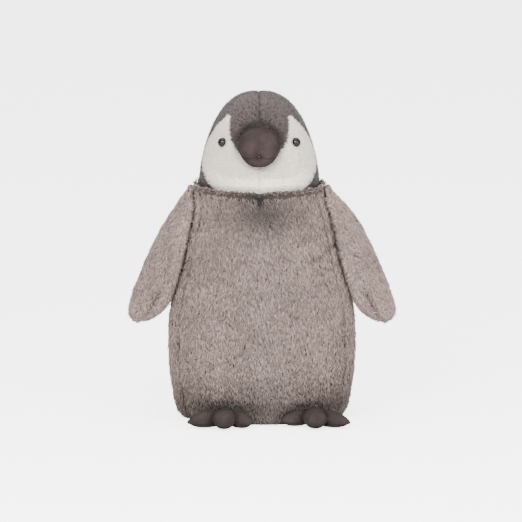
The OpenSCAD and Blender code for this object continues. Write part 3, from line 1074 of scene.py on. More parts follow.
def cloth_material(name: str, shade: tuple[float, float, float], threads: float) -> bpy.types.Material:
    """Plain woven cloth: two crossed sets of threads in the object's coordinates."""
    recipe = Recipe(name)
    weave = []
    for direction in ("X", "Z"):
        wave = recipe.node("ShaderNodeTexWave", wave_type="BANDS", bands_direction=direction)
        wave.inputs["Scale"].default_value = threads
        wave.inputs["Distortion"].default_value = 0.6
        recipe.link(recipe.place(), wave.inputs["Vector"])
        weave.append(wave.outputs["Fac"])
    crossed = recipe.node("ShaderNodeMath", operation="MAXIMUM")
    recipe.link(weave[0], crossed.inputs[0])
    recipe.link(weave[1], crossed.inputs[1])
    colour = recipe.ramp(crossed.outputs[0], [(0.0, tuple(0.8 * c for c in shade)), (1.0, shade)])
    colour = recipe.times(colour, recipe.range(recipe.noise(60.0), 0.92, 1.08, 0.3, 0.7))
    recipe.link(colour, recipe.shader.inputs["Base Color"])
    recipe.set(Roughness=0.88, Specular_IOR_Level=0.2)
    recipe.bump(crossed.outputs[0], 0.1 * MM, 0.6)
    return recipe.material


def wadding_material(name: str, shade: tuple[float, float, float]) -> bpy.types.Material:
    """Loose fibres pressed together."""
    recipe = Recipe(name)
    fibres = recipe.noise(420.0, 8.0, 0.7)
    colour = recipe.ramp(fibres, [(0.3, tuple(0.82 * c for c in shade)), (0.7, shade)])
    recipe.link(colour, recipe.shader.inputs["Base Color"])
    recipe.set(Roughness=0.95, Specular_IOR_Level=0.1)
    recipe.bump(fibres, 1.0 * MM, 0.8)
    return recipe.material


def plastic_material(name: str, shade: tuple[float, float, float], roughness: float) -> bpy.types.Material:
    """Moulded plastic with faint flow marks."""
    recipe = Recipe(name)
    flow = recipe.noise(160.0, 3.0)
    colour = recipe.ramp(flow, [(0.35, tuple(0.85 * c for c in shade)), (0.65, shade)])
    recipe.link(colour, recipe.shader.inputs["Base Color"])
    recipe.link(recipe.range(flow, roughness * 0.8, roughness * 1.2, 0.3, 0.7),
                recipe.shader.inputs["Roughness"])
    recipe.set(Specular_IOR_Level=0.3)
    return recipe.material


# ---- The toy ----


@dataclass
class Wardrobe:
    """The finishes of the whole toy."""

    long_grey: bpy.types.Material
    short_grey: bpy.types.Material
    short_white: bpy.types.Material
    beak: bpy.types.Material
    feet: bpy.types.Material
    eye: bpy.types.Material
    washer: bpy.types.Material
    wadding: bpy.types.Material
    pouch: bpy.types.Material
    beans: bpy.types.Material
    label: bpy.types.Material
    base: bpy.types.Material

    @staticmethod
    def stocked() -> "Wardrobe":
        """Makes every material once."""
        return Wardrobe(
            long_grey=pile_material("long grey pile", LONG_GREY),
            short_grey=pile_material("short grey pile", SHORT_GREY),
            short_white=pile_material("short white pile", SHORT_WHITE),
            beak=suede_material("beak suede", (0.030, 0.0225, 0.0215)),
            feet=suede_material("foot suede", (0.026, 0.0205, 0.0195)),
            eye=plastic_material("eye plastic", (0.003, 0.0026, 0.0026), 0.06),
            washer=plastic_material("washer plastic", (0.75, 0.75, 0.72), 0.4),
            wadding=wadding_material("wadding", (0.86, 0.86, 0.83)),
            pouch=cloth_material("pouch cloth", (0.8, 0.76, 0.68), 500.0),
            beans=plastic_material("plastic beans", (0.72, 0.71, 0.66), 0.5),
            label=cloth_material("label satin", (0.88, 0.88, 0.87), 900.0),
            base=cloth_material("base cloth", (0.16, 0.125, 0.115), 450.0),
        )


@dataclass
class Toy:
    """What every sub-assembly needs."""

    things: dict[str, bpy.types.Object]
    wardrobe: Wardrobe
    naps: NapField
    rng: np.random.Generator

    def repaint(self, node: str, material: bpy.types.Material) -> None:
        """Gives a CAD node that stays its material."""
        mesh = self.things[node].data
        mesh.materials.clear()
        mesh.materials.append(material)

    def add_pile(self, hide: Hide, panel: Panel, nap: Nap, pile: Pile, material: bpy.types.Material,
                 body: str, slot: str, fringes: Sequence[Fringe] = ()) -> bpy.types.Object:
        """Covers a panel with its pile and puts it in the CAD node's place.

        Args:
            hide: The bag that the panel belongs to.
            panel: The panel.
            nap: The nap's rule.
            pile: The pile's rule.
            material: The pile's material.
            body: The body that the panel rides on.
            slot: The record's material slot; not used.
            fringes: More locks along edges.
        """
        barber = Barber(pile, self.naps, hide, self.rng)
        locks = barber.grow(barber.plant(panel, nap))
        for fringe in fringes:
            growth = barber.plant(panel, nap, fringe)
            if len(growth.roots) == 0:
                continue
            more = barber.grow(growth)
            more.cells[:, 0] += locks.cells[:, 0].max() + 1
            locks = locks.joined(more)
        piece = make_piece(f"{panel.node}_pile", pile_shape(barber.backing(panel), locks), material)
        fit(piece, body, panel.node)
        log.info("%s: %d faces", piece.name, len(piece.data.polygons))
        return piece


@dataclass
class Body:
    """The four long-pile panels, the base and what the body holds.

    Attributes:
        neck: Height of the collar.
        middle: X of the neck's axis.
        notch: How far under the collar the notch of the front seam ends and starts.
        folds: Folds across the front, each with painted shade in it.
        feet: X of the middle of each foot.
        instep: Height of the painted shadows over the feet.
        flank: How far in front of and behind the side seams the shoulder's pile stands.
        shoulder: How far under the collar the shoulder's pile ends and starts.
        tint: Painted shade that darkens the pile where nothing else acts.
        fill: How much of its room the stuffed hide takes up; not used.
    """

    neck: float
    middle: float
    notch: tuple[float, float] = (22 * MM, 10 * MM)
    folds: tuple[Crease, ...] = (
        Crease((54 * MM, 182 * MM), (78 * MM, 196 * MM), 2.8 * MM, 3.2 * MM, 0.45),
        Crease((44 * MM, 205 * MM), (72 * MM, 216 * MM), 1.5 * MM, 3.4 * MM, 0.24),
        Crease((62 * MM, 168 * MM), (86 * MM, 178 * MM), 1.5 * MM, 3.4 * MM, 0.2),
        Crease((-84 * MM, 170 * MM), (-62 * MM, 158 * MM), 1.2 * MM, 3.6 * MM, 0.16),
        Crease((-72 * MM, 214 * MM), (-50 * MM, 224 * MM), 1.2 * MM, 3.6 * MM, 0.16),
    )
    feet: tuple[float, float] = (53 * MM, -39 * MM)
    instep: float = 25 * MM
    flank: float = 34 * MM
    shoulder: tuple[float, float] = (34 * MM, 6 * MM)
    # Painted shade that darkens all the body's pile
    tint: float = 0.13
    fill: float = 0.85

    def reliefs(self, hide: Hide) -> list[Relief]:
        """Seams, the collar's rim, the chest's hollow, folds, the pile low down and the places over the feet,
        each with painted shade.
        """
        neck = self.neck
        return [
            # Seam grooves and the collar's rim, each with painted shade in it
            SeamLine(hide.seam(0, 1), 3.4 * MM, 2.8 * MM, 0.8, neck - self.notch[0], neck - self.notch[1]),
            SeamLine(hide.seam(0, 2), 2.6 * MM, 2.4 * MM, 0.5),
            SeamLine(hide.seam(1, 3), 2.6 * MM, 2.4 * MM, 0.5),
            SeamLine(hide.seam(2, 3), 1.4 * MM, 2.2 * MM, 0.2),
            RoundedRim(neck - 9 * MM, neck - 1 * MM, 0.4 * MM, 0.1),
            # Painted shade on the chest under the chin, over a shallow hollow
            Hollow((self.middle + 3 * MM, neck - 20 * MM), 44 * MM, 26 * MM, 1.2 * MM, 1.15),
            *self.folds,
            # Painted shade on the pile low down, which faces the ground
            Footlight(6 * MM, 76 * MM),
            # Painted shadows over the feet, with no depth
            *(Hollow((x, self.instep), 32 * MM, 7 * MM, 0.0, 0.5) for x in self.feet),
        ]

    def beside_wing(self, points: Array) -> Array:
        """Which points lie on the flank under the collar, where a wing is sewn on."""
        deep, shallow = self.shoulder
        z = points[:, 2]
        return (np.abs(points[:, 1]) < self.flank) & (z > self.neck - deep) & (z < self.neck - shallow)

    def build(self, toy: Toy) -> None:
        """Grows the four panels' pile and dresses what the body holds."""
        hide = Hide(["body_front_left", "body_front_right", "body_back_left", "body_back_right"], toy.things)
        hide.reliefs = self.reliefs(hide)
        hide.tint = self.tint

        def outward(points: Array) -> Array:
            """Off the neck, down and a little forward."""
            return -toy.naps.inward(points) - np.array([0.0, 0.5, 0.9])

        shoulder = Fringe(self.beside_wing, outward, 0.7, 1.05)
        for panel in hide.panels:
            pile = BODY_PILE if "front" in panel.node else BACK_PILE
            dye_and_root_shade = toy.wardrobe.long_grey
            piece = toy.add_pile(hide, panel, Nap.BODY, pile, dye_and_root_shade, "body", "long_pile", (shoulder,))
        wardrobe = toy.wardrobe
        toy.repaint("body_base", wardrobe.base)
        toy.repaint("body_stuffing", wardrobe.wadding)
        toy.repaint("neck_stuffing", wardrobe.wadding)
        toy.repaint("bean_pouch", wardrobe.pouch)
        toy.repaint("bean_fill", wardrobe.beans)


@dataclass
class Wing:
    """A wing: an outer and an inner panel round a flat core of wadding.

    Attributes:
        side: Which wing it is.
        neck: Height of the collar.
        tint: Painted light that makes the pile paler where nothing else acts.
        front: How far in front of the wing's middle its inner edge starts.
        edge: Height at which the pile that covers the seam starts.
        bare: How far under the collar that pile ends.
        fill: How much of its room the stuffed hide takes up; not used.
    """

    side: Side
    neck: float
    # Painted light that makes the wings' pile paler than the body's
    tint: float = -0.16
    front: float = 8 * MM
    edge: float = 150 * MM
    bare: float = 12 * MM
    fill: float = 0.8

    def build(self, toy: Toy) -> None:
        """Grows the pile of both panels and dresses the core."""
        name = f"wing_{self.side.word}"
        hide = Hide([f"{name}_outer", f"{name}_inner"], toy.things)
        sign = self.side.value
        seam = hide.seam(0, 1)
        # The seam's groove and two folds, each with painted shade in it
        hide.reliefs = [
            SeamLine(seam, 0.5 * MM, 1.8 * MM, 0.12),
            Crease((sign * 112 * MM, 144 * MM), (sign * 131 * MM, 108 * MM), 4.2 * MM, 3.0 * MM, 0.65),
            Crease((sign * 98 * MM, 186 * MM), (sign * 104 * MM, 160 * MM), 1.2 * MM, 3.4 * MM, 0.2),
        ]
        hide.tint = self.tint
        near = SeamLine(seam, 1.0, 3.2 * MM, 0.0)

        def inner_edge(points: Array) -> Array:
            """Which points lie along the front of the wing's inner seam."""
            z = points[:, 2]
            beside = (points[:, 1] < -self.front) & (near.weight(points) > 0.35)
            return beside & (z > self.edge) & (z < self.neck - self.bare)

        def towards_body(points: Array) -> Array:
            """Inward and down, over the seam."""
            return np.tile([-sign * 1.0, -0.1, -0.75], (len(points), 1))

        edge = Fringe(inner_edge, towards_body, 1.6, 0.85)
        for panel in hide.panels:
            dye_and_root_shade = toy.wardrobe.long_grey
            piece = toy.add_pile(hide, panel, Nap.WING, WING_PILE, dye_and_root_shade, name, "long_pile", (edge,))
        toy.repaint(f"{name}_stuffing", toy.wardrobe.wadding)


@dataclass
class Head:
    """The hood and the face in short pile, with the eyes and what the head holds.

    Attributes:
        neck: Height of the collar.
        beak: The beak, round which the cloth is drawn in.
        crown_seam: How far over the collar the hood's seam starts and is at its full depth.
        brow: How far over the beak's middle the forehead swells.
        eye_hollow: How far round an eye the face is drawn in.
        fill: How much of its room the stuffed hide takes up; not used.
    """

    neck: float
    beak: "Beak"
    crown_seam: tuple[float, float] = (66 * MM, 84 * MM)
    brow: float = 25 * MM
    eye_hollow: float = 8 * MM
    fill: float = 0.9

    def reliefs(self, hide: Hide) -> list[Relief]:
        """Seams, the furrow round the beak, the brow and the hollows at the eyes, each with painted shade."""
        beak = self.beak
        low, high = (self.neck + rise for rise in self.crown_seam)
        boxes = [box_of(f"eye_{side.word}") for side in Side]
        eyes = [((a[0] + b[0]) / 2, (a[2] + b[2]) / 2) for a, b in boxes]
        # Each relief paints shade on the pile: in the seams, the furrow, on the brow's swelling and in the
        # eyes' hollows
        return [
            SeamLine(hide.seam(0, 1), 1.4 * MM, 1.9 * MM, 0.9, low, high),
            SeamLine(hide.seam(2, 3), 1.0 * MM, 1.2 * MM, 0.4),
            SeamLine(hide.seam(0, 2), 0.3 * MM, 1.2 * MM, 0.06),
            SeamLine(hide.seam(1, 3), 0.3 * MM, 1.2 * MM, 0.06),
            BeakFurrow(beak.middle, beak.half_width, beak.half_height, 2.2 * MM, 3.8 * MM, 1.5),
            Hollow((beak.middle[0], beak.middle[2] + self.brow), 17 * MM, 10 * MM, -0.9 * MM, 0.3),
            *(Hollow(middle, self.eye_hollow, self.eye_hollow, 0.9 * MM, 0.1) for middle in eyes),
        ]

    def build(self, toy: Toy) -> Hide:
        """Grows the pile of the hood and the face, dresses the rest, and gives the hide back."""
        hide = Hide(["hood_left", "hood_right", "face_left", "face_right"], toy.things)
        hide.reliefs = self.reliefs(hide)
        wardrobe = toy.wardrobe
        for panel in hide.panels:
            if panel.node.startswith("hood"):
                rule = (Nap.HOOD, HOOD_PILE, wardrobe.short_grey, "head", "short_grey_pile")
            else:
                rule = (Nap.FACE, FACE_PILE, wardrobe.short_white, "head", "short_white_pile")
            toy.add_pile(hide, panel, *rule)
        for side in Side:
            toy.repaint(f"eye_{side.word}", wardrobe.eye)
            toy.repaint(f"eye_washer_{side.word}", wardrobe.washer)
        toy.repaint("head_stuffing", wardrobe.wadding)
        return hide


# ---- Beak and feet ----

# Mass of the cloth at each point of a simulated bag, in kilograms
POINT_MASS = 1e-4


def puff(piece: bpy.types.Object, held: Array, cap: float, pressure: float, frames: int = 12) -> Array:
    """Swells a piece like a stuffed bag, by cloth simulation.

    Args:
        piece: The piece, whose mesh is its starting shape.
        held: Numbers of the points sewn down to something else.
        cap: The furthest that a point may move.
        pressure: How hard the stuffing presses outward, in pascals.
        frames: How many steps the swelling takes.

    Returns:
        The piece's points after the swelling.
    """
    mesh = piece.data
    start = np.empty(len(mesh.vertices) * 3, np.float32)
    mesh.vertices.foreach_get("co", start)
    start = start.reshape(-1, 3).astype(float)
    group = piece.vertex_groups.new(name="sewn")
    group.add([int(k) for k in held], 1.0, "REPLACE")
    cloth = piece.modifiers.new("cloth", "CLOTH")
    cloth.settings.mass = POINT_MASS
    cloth.settings.use_pressure = True
    cloth.settings.uniform_pressure_force = pressure
    cloth.settings.vertex_group_mass = group.name
    cloth.settings.effector_weights.gravity = 0
    scene = bpy.context.scene
    for frame in range(1, frames + 1):
        scene.frame_set(frame)
    worn = piece.evaluated_get(bpy.context.evaluated_depsgraph_get())
    end = np.empty(len(start) * 3, np.float32)
    worn.data.vertices.foreach_get("co", end)
    move = end.reshape(-1, 3) - start
    length = np.linalg.norm(move, axis=1, keepdims=True)
    move *= np.minimum(1, cap / np.maximum(length, 1e-9))
    piece.modifiers.clear()
    scene.frame_set(1)
    log.info("%s: swelled by up to %.2f mm", piece.name, min(length.max(), cap) / MM)
    return start + move


def mesh_normals(piece: bpy.types.Object, points: Array) -> Array:
    """Normals at the points of a piece once its points are moved to new places."""
    mesh = piece.data
    mesh.vertices.foreach_set("co", points.astype(np.float32).ravel())
    mesh.update()
    normals = np.empty(len(points) * 3, np.float32)
    mesh.vertices.foreach_get("normal", normals)
    return normals.reshape(-1, 3).astype(float)


@dataclass
class Beak:
    """The stuffed suede beak: two panels, a drooping dome gathered at its tip.

    Attributes:
        middle: The middle of the beak's root, on the face.
        half_width: Half its width at the root.
        half_height: Half its height at the root.
        reach: How far it stands out.
        drop: How far its tip hangs under its middle.
        seam: How far the side seams lie under the middle, as an angle in degrees.
        cloth: Thickness of the suede.
        columns: Columns of faces round it.
        rings: Rings of faces from its root to its tip.
        stuffing: How hard its wadding presses outward, in pascals.
        room: The furthest that the cloth may swell.
    """

    middle: Array
    half_width: float
    half_height: float
    reach: float
    drop: float
    seam: float = 22.0
    cloth: float = 1.2 * MM
    columns: int = 144
    rings: int = 46
    stuffing: float = 9000.0
    room: float = 1.2 * MM

    def root_depth(self, hide: Hide, x: float, z: float) -> float:
        """Y of the face at a place in the beak's outline."""
        return hide.surface_at(np.array([x, self.middle[1] - 0.1, z]), np.array([0.0, 1.0, 0.0]))[1]

    def plain(self, hide: Hide) -> Array:
        """Rings of points from the root to the tip, before the beak is swelled."""
        angles = np.radians(np.arange(self.columns) * 360 / self.columns - self.seam)
        shares = np.sin(np.linspace(0, math.pi / 2, self.rings + 1))
        cos, sin = np.cos(angles), np.sin(angles)
        inset = 0.6 * MM
        x = (self.half_width - inset) * cos
        z = (self.half_height - inset) * sin
        outline = zip(self.middle[0] + x, self.middle[2] + z)
        root = np.array([self.root_depth(hide, a, b) for a, b in outline])
        root += 1.4 * MM
        tip = self.middle[1] - self.reach + inset
        grid = np.empty((len(shares), self.columns, 3))
        for i, share in enumerate(shares):
            out = math.sin(share * math.pi / 2)
            radius = max(math.cos(share * math.pi / 2), 0.0) ** 0.8
            grid[i, :, 0] = self.middle[0] + x * radius
            grid[i, :, 1] = root + (tip - root) * out
            grid[i, :, 2] = self.middle[2] + z * radius - self.drop * out**1.4
        return grid

    def sewn(self, grid: Array, normals: Array) -> tuple[Array, Array]:
        """Draws in the side seams and the gathers at the tip.

        Returns:
            The new points and how much painted shade each gets.
        """
        shares = np.linspace(0, 1, self.rings + 1)[:, None]
        column = np.arange(self.columns)[None, :]
        half = self.columns * (180 + 2 * self.seam) / 360
        from_seam = np.minimum(np.minimum(column, self.columns - column), np.abs(column - half))
        angle = 2 * math.pi * column / self.columns
        groove = np.exp(-((from_seam / 1.5) ** 2)) * np.clip(1.15 - shares, 0, 1)
        pleats = (0.5 + 0.5 * np.cos(9 * angle + 3 * np.sin(angle)))
        gathers = np.exp(-(((shares - 0.8) / 0.11) ** 2)) * pleats
        crumple = np.sin(3 * angle + 7 * shares) * np.sin(5 * shares * math.pi) * (1 - shares)
        dimple = np.exp(-(((1 - shares) / 0.07) ** 2))
        depth = 0.8 * groove + 0.55 * gathers + 0.25 * crumple + 1.1 * dimple
        # Painted shade in the seams' grooves, the gathers and the tip's dimple, and more at the tip and at
        # the root
        shade = 0.35 * groove + 0.3 * gathers + 0.5 * dimple
        shade = shade + 0.55 * np.exp(-(((shares - 0.95) / 0.2) ** 2))
        shade = shade + 0.45 * np.exp(-((shares / 0.05) ** 2))
        moved = grid - normals * depth[:, :, None] * MM
        return moved, np.clip(shade, 0, 1) * np.ones_like(depth)

    def build(self, toy: Toy, hide: Hide) -> None:
        """Makes both panels and puts them in place of the CAD ones."""
        grid = self.plain(hide)
        rows, columns = grid.shape[:2]
        index = np.arange(rows * columns).reshape(rows, columns)
        faces = [
            (index[i, j], index[i, (j + 1) % columns], index[i + 1, (j + 1) % columns], index[i + 1, j])
            for i in range(rows - 2) for j in range(columns)
        ]
        pole = (rows - 1) * columns
        faces += [(index[rows - 2, j], index[rows - 2, (j + 1) % columns], pole) for j in range(columns)]
        bag = make_piece(
            "beak_bag", Shape.of_faces(grid.reshape(-1, 3)[: pole + 1], faces), toy.wardrobe.beak
        )
        points = puff(bag, index[0], self.room, self.stuffing)
        normals = mesh_normals(bag, points)
        bpy.data.objects.remove(bag)
        fill = columns - 1
        grid = np.concatenate([points, np.repeat(points[-1:], fill, 0)]).reshape(rows, columns, 3)
        normals = np.concatenate([normals, np.repeat(normals[-1:], fill, 0)]).reshape(rows, columns, 3)
        outer, shade = self.sewn(grid, normals)
        inner = outer - normals * self.cloth
        half = round(columns * (180 + 2 * self.seam) / 360)
        for node, span in (
            ("beak_upper", np.arange(0, half + 1)), ("beak_lower", np.arange(half, columns + 1) % columns)
        ):
            shape = closed_panel(outer[:, span], inner[:, span])
            shape.shade = np.tile(shade[:, span].ravel(), 2)
            piece = make_piece(f"{node}_suede", shape, toy.wardrobe.beak, welded=True)
            fit(piece, "head", node)
        toy.repaint("beak_stuffing", toy.wardrobe.wadding)


@dataclass(frozen=True)
class Toe:
    """A stuffed toe: its direction from straight ahead, its size, and how pointed it is."""

    direction: float
    reach: float
    half_width: float
    height: float
    point: float


@dataclass
class Foot:
    """One foot: three stuffed teardrop toes on one heel.

    Attributes:
        side: Which foot it is.
        heel: The foot's centre on the floor.
        toes: Its toes, from the inner one to the outer one.
        run_back: How far the toes run back behind the heel's centre.
        voxel: Size of the cells that join the toes.
        seam: Height of the seam between the upper and the sole.
        cloth: Thickness of the suede.
        stuffing: How hard its wadding presses outward, in pascals.
        room: The furthest that the cloth may swell.
        seam_groove: Depth of the groove along the seam.
        toe_furrow: Depth of the furrow between two toes.
    """

    side: Side
    heel: Array
    toes: tuple[Toe, ...]
    run_back: float = 11 * MM
    voxel: float = 1.0 * MM
    seam: float = 4.5 * MM
    cloth: float = 1.1 * MM
    stuffing: float = 2200.0
    room: float = 0.9 * MM
    seam_groove: float = 0.5 * MM
    toe_furrow: float = 1.1 * MM

    def toe_shape(self, toe: Toe) -> Shape:
        """A teardrop lying on the floor: narrow at the heel, fat in front of its middle."""
        rings, columns = 30, 32
        heading = math.radians(toe.direction) * self.side.value
        forward = np.array([math.sin(heading), -math.cos(heading), 0.0])
        across = np.array([math.cos(heading), math.sin(heading), 0.0])
        angles = np.linspace(0, 2 * math.pi, columns, endpoint=False)
        inset = 0.8 * MM
        points = []
        for share in np.linspace(0, 1, rings):
            fat = share ** (1.45 - 0.35 * toe.point)
            swell = max(math.sin(math.pi * fat), 0.0) ** (0.52 + 0.3 * toe.point)
            reach = -self.run_back + (toe.reach - inset + self.run_back) * share
            width = (toe.half_width - inset) * swell
            height = (toe.height - inset) / 2 * swell
            rise = toe.height * (0.52 - 0.2 * toe.point * share**3)
            ring = self.heel + forward * reach + np.outer(np.cos(angles) * width, across)
            ring[:, 2] = np.maximum(rise + height * np.sin(angles), 1.0 * MM)
            points.append(ring)
        faces = [
            (i * columns + j, i * columns + (j + 1) % columns, (i + 1) * columns + (j + 1) % columns,
             (i + 1) * columns + j)
            for i in range(rings - 1) for j in range(columns)
        ]
        return Shape.of_faces(np.array(points).reshape(-1, 3), faces)

    def between_toes(self, points: Array, faces: Array, normals: Array) -> Array:
        """How far each point lies in the furrow between two toes, from 0 to 1."""
        ends = np.concatenate([faces[:, [k, (k + 1) % 4]] for k in range(4)])
        count = np.bincount(ends[:, 0], minlength=len(points)).clip(1)[:, None]
        value = None
        for _ in range(5):
            field_now = points if value is None else value[:, None]
            total = np.zeros((len(points), field_now.shape[1]))
            np.add.at(total, ends[:, 0], field_now[ends[:, 1]])
            mean = total / count
            if value is None:
                value = np.clip(((mean - points) * normals).sum(axis=1) / (0.09 * self.voxel), 0, 1)
            else:
                value = np.maximum(0.5 * value, mean[:, 0])
        return value * smooth_step(points[:, 2], 0.5 * self.seam, self.seam)

    def build(self, toy: Toy) -> None:
        """Makes the upper, the sole and the wadding, and puts them in place of the CAD ones."""
        name = f"foot_{self.side.word}"
        shape = self.toe_shape(self.toes[0])
        for toe in self.toes[1:]:
            shape = shape.joined(self.toe_shape(toe))
        bag = make_piece(f"{name}_bag", shape, toy.wardrobe.feet, welded=True)
        add_modifier(bag, "REMESH", mode="VOXEL", voxel_size=self.voxel)
        add_modifier(bag, "SMOOTH", factor=0.5, iterations=2)
        freeze(bag)
        mesh = bag.data
        faces = np.array([p.vertices[:] for p in mesh.polygons if len(p.vertices) == 4])
        start = np.array([v.co[:] for v in mesh.vertices])
        on_seam = np.nonzero(np.abs(start[:, 2] - self.seam) < 0.6 * MM)[0]
        points = puff(bag, on_seam, self.room, self.stuffing)
        points[:, 2] = np.maximum(points[:, 2], 0.3 * MM)
        normals = mesh_normals(bag, points)
        groove = np.exp(-(((points[:, 2] - self.seam) / (0.8 * MM)) ** 2))
        between = self.between_toes(points, faces, normals)
        points = points - normals * (self.seam_groove * groove + self.toe_furrow * between)[:, None]
        # Painted shade along the seam's groove and in the furrows between the toes
        dark = np.clip(0.35 * groove + 1.1 * between, 0, 1)
        bpy.data.objects.remove(bag)
        upper = points[faces].mean(axis=1)[:, 2] > self.seam
        shells = {
            "top": thick_shell(points, faces[upper], normals, self.cloth),
            "sole": thick_shell(points, faces[~upper], normals, self.cloth),
            "stuffing": Shape.of_faces(points - normals * (self.cloth + 0.4 * MM), faces),
        }
        shades = {"top": dark[np.unique(faces[upper])], "sole": dark[np.unique(faces[~upper])]}
        for part, shape in shells.items():
            material = toy.wardrobe.wadding if part == "stuffing" else toy.wardrobe.feet
            if part in shades:
                shape.shade = np.tile(shades[part], 2)
            piece = make_piece(f"{name}_{part}_sewn", shape, material)
            fit(piece, name, f"{name}_{part}")


def fit(piece: bpy.types.Object, body: str, node: str) -> None:
    """Puts a piece on its body in place of its CAD node."""
    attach(piece, body)
    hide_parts(node)


def add_modifier(piece: bpy.types.Object, kind: str, **settings: object) -> None:
    """Adds a modifier with its settings."""
    made = piece.modifiers.new(kind.lower(), kind)
    for key, value in settings.items():
        setattr(made, key, value)


def freeze(piece: bpy.types.Object) -> None:
    """Applies all modifiers of a piece to its mesh."""
    bpy.context.view_layer.update()
    worn = piece.evaluated_get(bpy.context.evaluated_depsgraph_get())
    mesh = bpy.data.meshes.new_from_object(worn)
    piece.modifiers.clear()
    piece.data = mesh


@dataclass
class CareLabel:
    """The blank care label: a small sheet of satin that hangs from the back, curling a little.

    Attributes:
        columns: Points across it.
        rows: Points down it.
        stand: How far under its room's back it starts.
        curl: How far its lower edge curls out.
        ripple: How deep its waves are.
        turns: How far round the waves go, in radians.
        hang: Share of its room's height that it takes up.
        cloth: Thickness of the satin.
    """

    columns: int = 25
    rows: int = 17
    stand: float = 1.6 * MM
    curl: float = 3.2 * MM
    ripple: float = 0.8 * MM
    turns: float = 5.0
    hang: float = 0.985
    cloth: float = 0.35 * MM

    def build(self, toy: Toy) -> None:
        """Makes the sheet: it stands out by curl * t^2 + ripple * t * sin(turns * s)."""
        low, high = (np.array(corner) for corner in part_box("care_label"))
        across = np.linspace(low[0], high[0], self.columns)[None, :] * np.ones((self.rows, 1))
        down = np.linspace(0, 1, self.rows)[:, None] * np.ones((1, self.columns))
        wave = np.sin(np.linspace(0, self.turns, self.columns))[None, :]
        out = self.curl * down**2 + self.ripple * down * wave
        fall = down * (high[2] - low[2]) * self.hang
        outer = np.stack([across, high[1] - self.stand + out, high[2] - fall], axis=2)
        inner = outer - np.array([0, self.cloth, 0])
        shape = closed_panel(outer[:, ::-1], inner[:, ::-1])
        piece = make_piece("care_label_satin", shape, toy.wardrobe.label)
        fit(piece, "body", "care_label")


# ---- Studio ----


# Each lamp's name, place, size and power
LAMPS = (
    ("key", (-0.6, -2.2, 1.5), 1.2, 125.0),
    ("fill", (1.4, -1.9, 1.0), 1.4, 64.0),
    ("top", (0.0, -0.1, 2.0), 1.2, 22.0),
)


@dataclass
class Studio:
    """A pale floor, soft lights and a long lens a little above the toy."""

    aim: Vector = field(default_factory=lambda: Vector((-0.001, -0.02, 0.1745)))
    elevation: float = 9.0
    distance: float = 9.0
    view_height: float = 0.5685
    sensor: float = 36.0
    daylight: float = 1.1
    floor_half: float = 8.0
    floor_drop: float = 0.2 * MM
    floor_glow: float = 3.2

    def camera(self) -> None:
        """Sets the camera up at the penguin's front."""
        rise = math.radians(self.elevation)
        back = Vector((0, -math.cos(rise), math.sin(rise)))
        data = bpy.data.cameras.new("camera")
        data.sensor_width = self.sensor
        data.lens = self.sensor * self.distance / self.view_height
        camera = bpy.data.objects.new("camera", data)
        camera.location = self.aim + back * self.distance
        camera.rotation_mode = "QUATERNION"
        camera.rotation_quaternion = (-back).to_track_quat("-Z", "Y")
        bpy.context.scene.collection.objects.link(camera)
        bpy.context.scene.camera = camera

    def lamp(self, name: str, place: tuple[float, float, float], size: float, power: float) -> None:
        """Adds a soft square light that looks at the toy."""
        data = bpy.data.lights.new(name, "AREA")
        data.size = size
        data.energy = power
        lamp = bpy.data.objects.new(name, data)
        lamp.location = place
        lamp.rotation_mode = "QUATERNION"
        lamp.rotation_quaternion = (self.aim - lamp.location).to_track_quat("-Z", "Y")
        bpy.context.scene.collection.objects.link(lamp)

    def floor(self) -> None:
        """Lays a wide pale floor."""
        half, drop = self.floor_half, -self.floor_drop
        corners = [(-half, -half, drop), (half, -half, drop), (half, half, drop), (-half, half, drop)]
        mesh = bpy.data.meshes.new("floor")
        mesh.from_pydata(corners, [], [(0, 1, 2, 3)])
        recipe = Recipe("floor paint")
        recipe.set(Base_Color=(0.93, 0.93, 0.93, 1.0), Roughness=0.9, Emission_Color=(1.0, 1.0, 1.0, 1.0))
        seen = recipe.node("ShaderNodeLightPath").outputs["Is Camera Ray"]
        recipe.link(recipe.range(seen, 0.0, self.floor_glow), recipe.shader.inputs["Emission Strength"])
        mesh.materials.append(recipe.material)
        floor = bpy.data.objects.new("floor", mesh)
        bpy.context.scene.collection.objects.link(floor)

    def world(self) -> None:
        """Fills the room with even white light."""
        world = bpy.data.worlds.new("room")
        world.use_nodes = True
        backdrop = world.node_tree.nodes["Background"]
        backdrop.inputs["Color"].default_value = (1.0, 1.0, 1.0, 1.0)
        backdrop.inputs["Strength"].default_value = self.daylight
        bpy.context.scene.world = world

    def build(self) -> None:
        """Sets up the whole studio."""
        self.camera()
        self.floor()
        self.world()
        for name, place, size, power in LAMPS:
            self.lamp(name, place, size, power)


def box_of(*nodes: str) -> tuple[Array, Array]:
    """Lowest and highest corners of some CAD nodes together."""
    boxes = [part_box(node) for node in nodes]
    low = np.min([np.array(b[0]) for b in boxes], axis=0)
    high = np.max([np.array(b[1]) for b in boxes], axis=0)
    return low, high


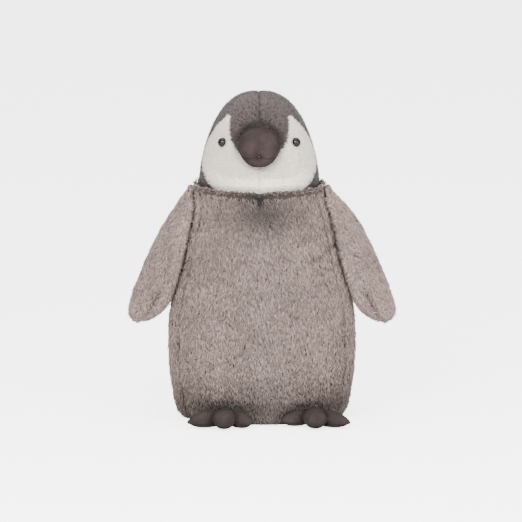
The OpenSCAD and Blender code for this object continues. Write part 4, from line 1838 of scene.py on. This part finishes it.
BEAK_HALF_HEIGHT = 21 * MM
BEAK_DROP = 8 * MM
FACE_Y = -0.0585       # Y of the face under the beak's middle


def made_beak() -> Beak:
    """The beak's sizes, from the CAD panels' boxes."""
    low, high = box_of("beak_upper", "beak_lower")
    middle = np.array([(low[0] + high[0]) / 2, FACE_Y, high[2] - BEAK_HALF_HEIGHT])
    return Beak(middle, (high[0] - low[0]) / 2, BEAK_HALF_HEIGHT, FACE_Y - low[1], BEAK_DROP)


# Where each foot's heel stands on the floor
FOOT_PLACES = {
    Side.LEFT: np.array([53 * MM, -63.6 * MM, 0.0]),
    Side.RIGHT: np.array([-39 * MM, -69.3 * MM, 0.0]),
}
# The toes of each foot, from the inner one to the outer one
FOOT_TOES = {
    Side.LEFT: (
        Toe(-74.0, 35 * MM, 9.5 * MM, 18 * MM, 0.5),
        Toe(13.0, 40 * MM, 13.8 * MM, 23 * MM, 0.15),
        Toe(62.0, 50 * MM, 11 * MM, 19.5 * MM, 0.7),
    ),
    Side.RIGHT: (
        Toe(-52.0, 38 * MM, 9.8 * MM, 19 * MM, 0.2),
        Toe(6.0, 36 * MM, 13.8 * MM, 23 * MM, 0.15),
        Toe(72.0, 46 * MM, 11 * MM, 19.5 * MM, 0.8),
    ),
}


def main() -> None:
    """Builds the toy on the frame, then the studio."""
    logging.basicConfig(level=logging.INFO, format="%(name)s: %(message)s")
    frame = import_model()
    _, neck = box_of("body_front_left")
    beak = made_beak()
    hood_low, hood_high = box_of("hood_left", "hood_right")
    naps = NapField(
        beak=beak.middle, crown=hood_high[2], neck=neck[2], width=box_of("body_back_left")[1][0],
        middle=(hood_low[0] + hood_high[0]) / 2,
    )
    toy = Toy(frame["nodes"], Wardrobe.stocked(), naps, np.random.default_rng(SEED))
    Body(naps.neck, naps.middle).build(toy)
    for side in Side:
        Wing(side, naps.neck).build(toy)
    beak.build(toy, Head(naps.neck, beak).build(toy))
    for side in Side:
        Foot(side, FOOT_PLACES[side], FOOT_TOES[side]).build(toy)
    CareLabel().build(toy)
    Studio().build()


if __name__ == "__main__":
    main()
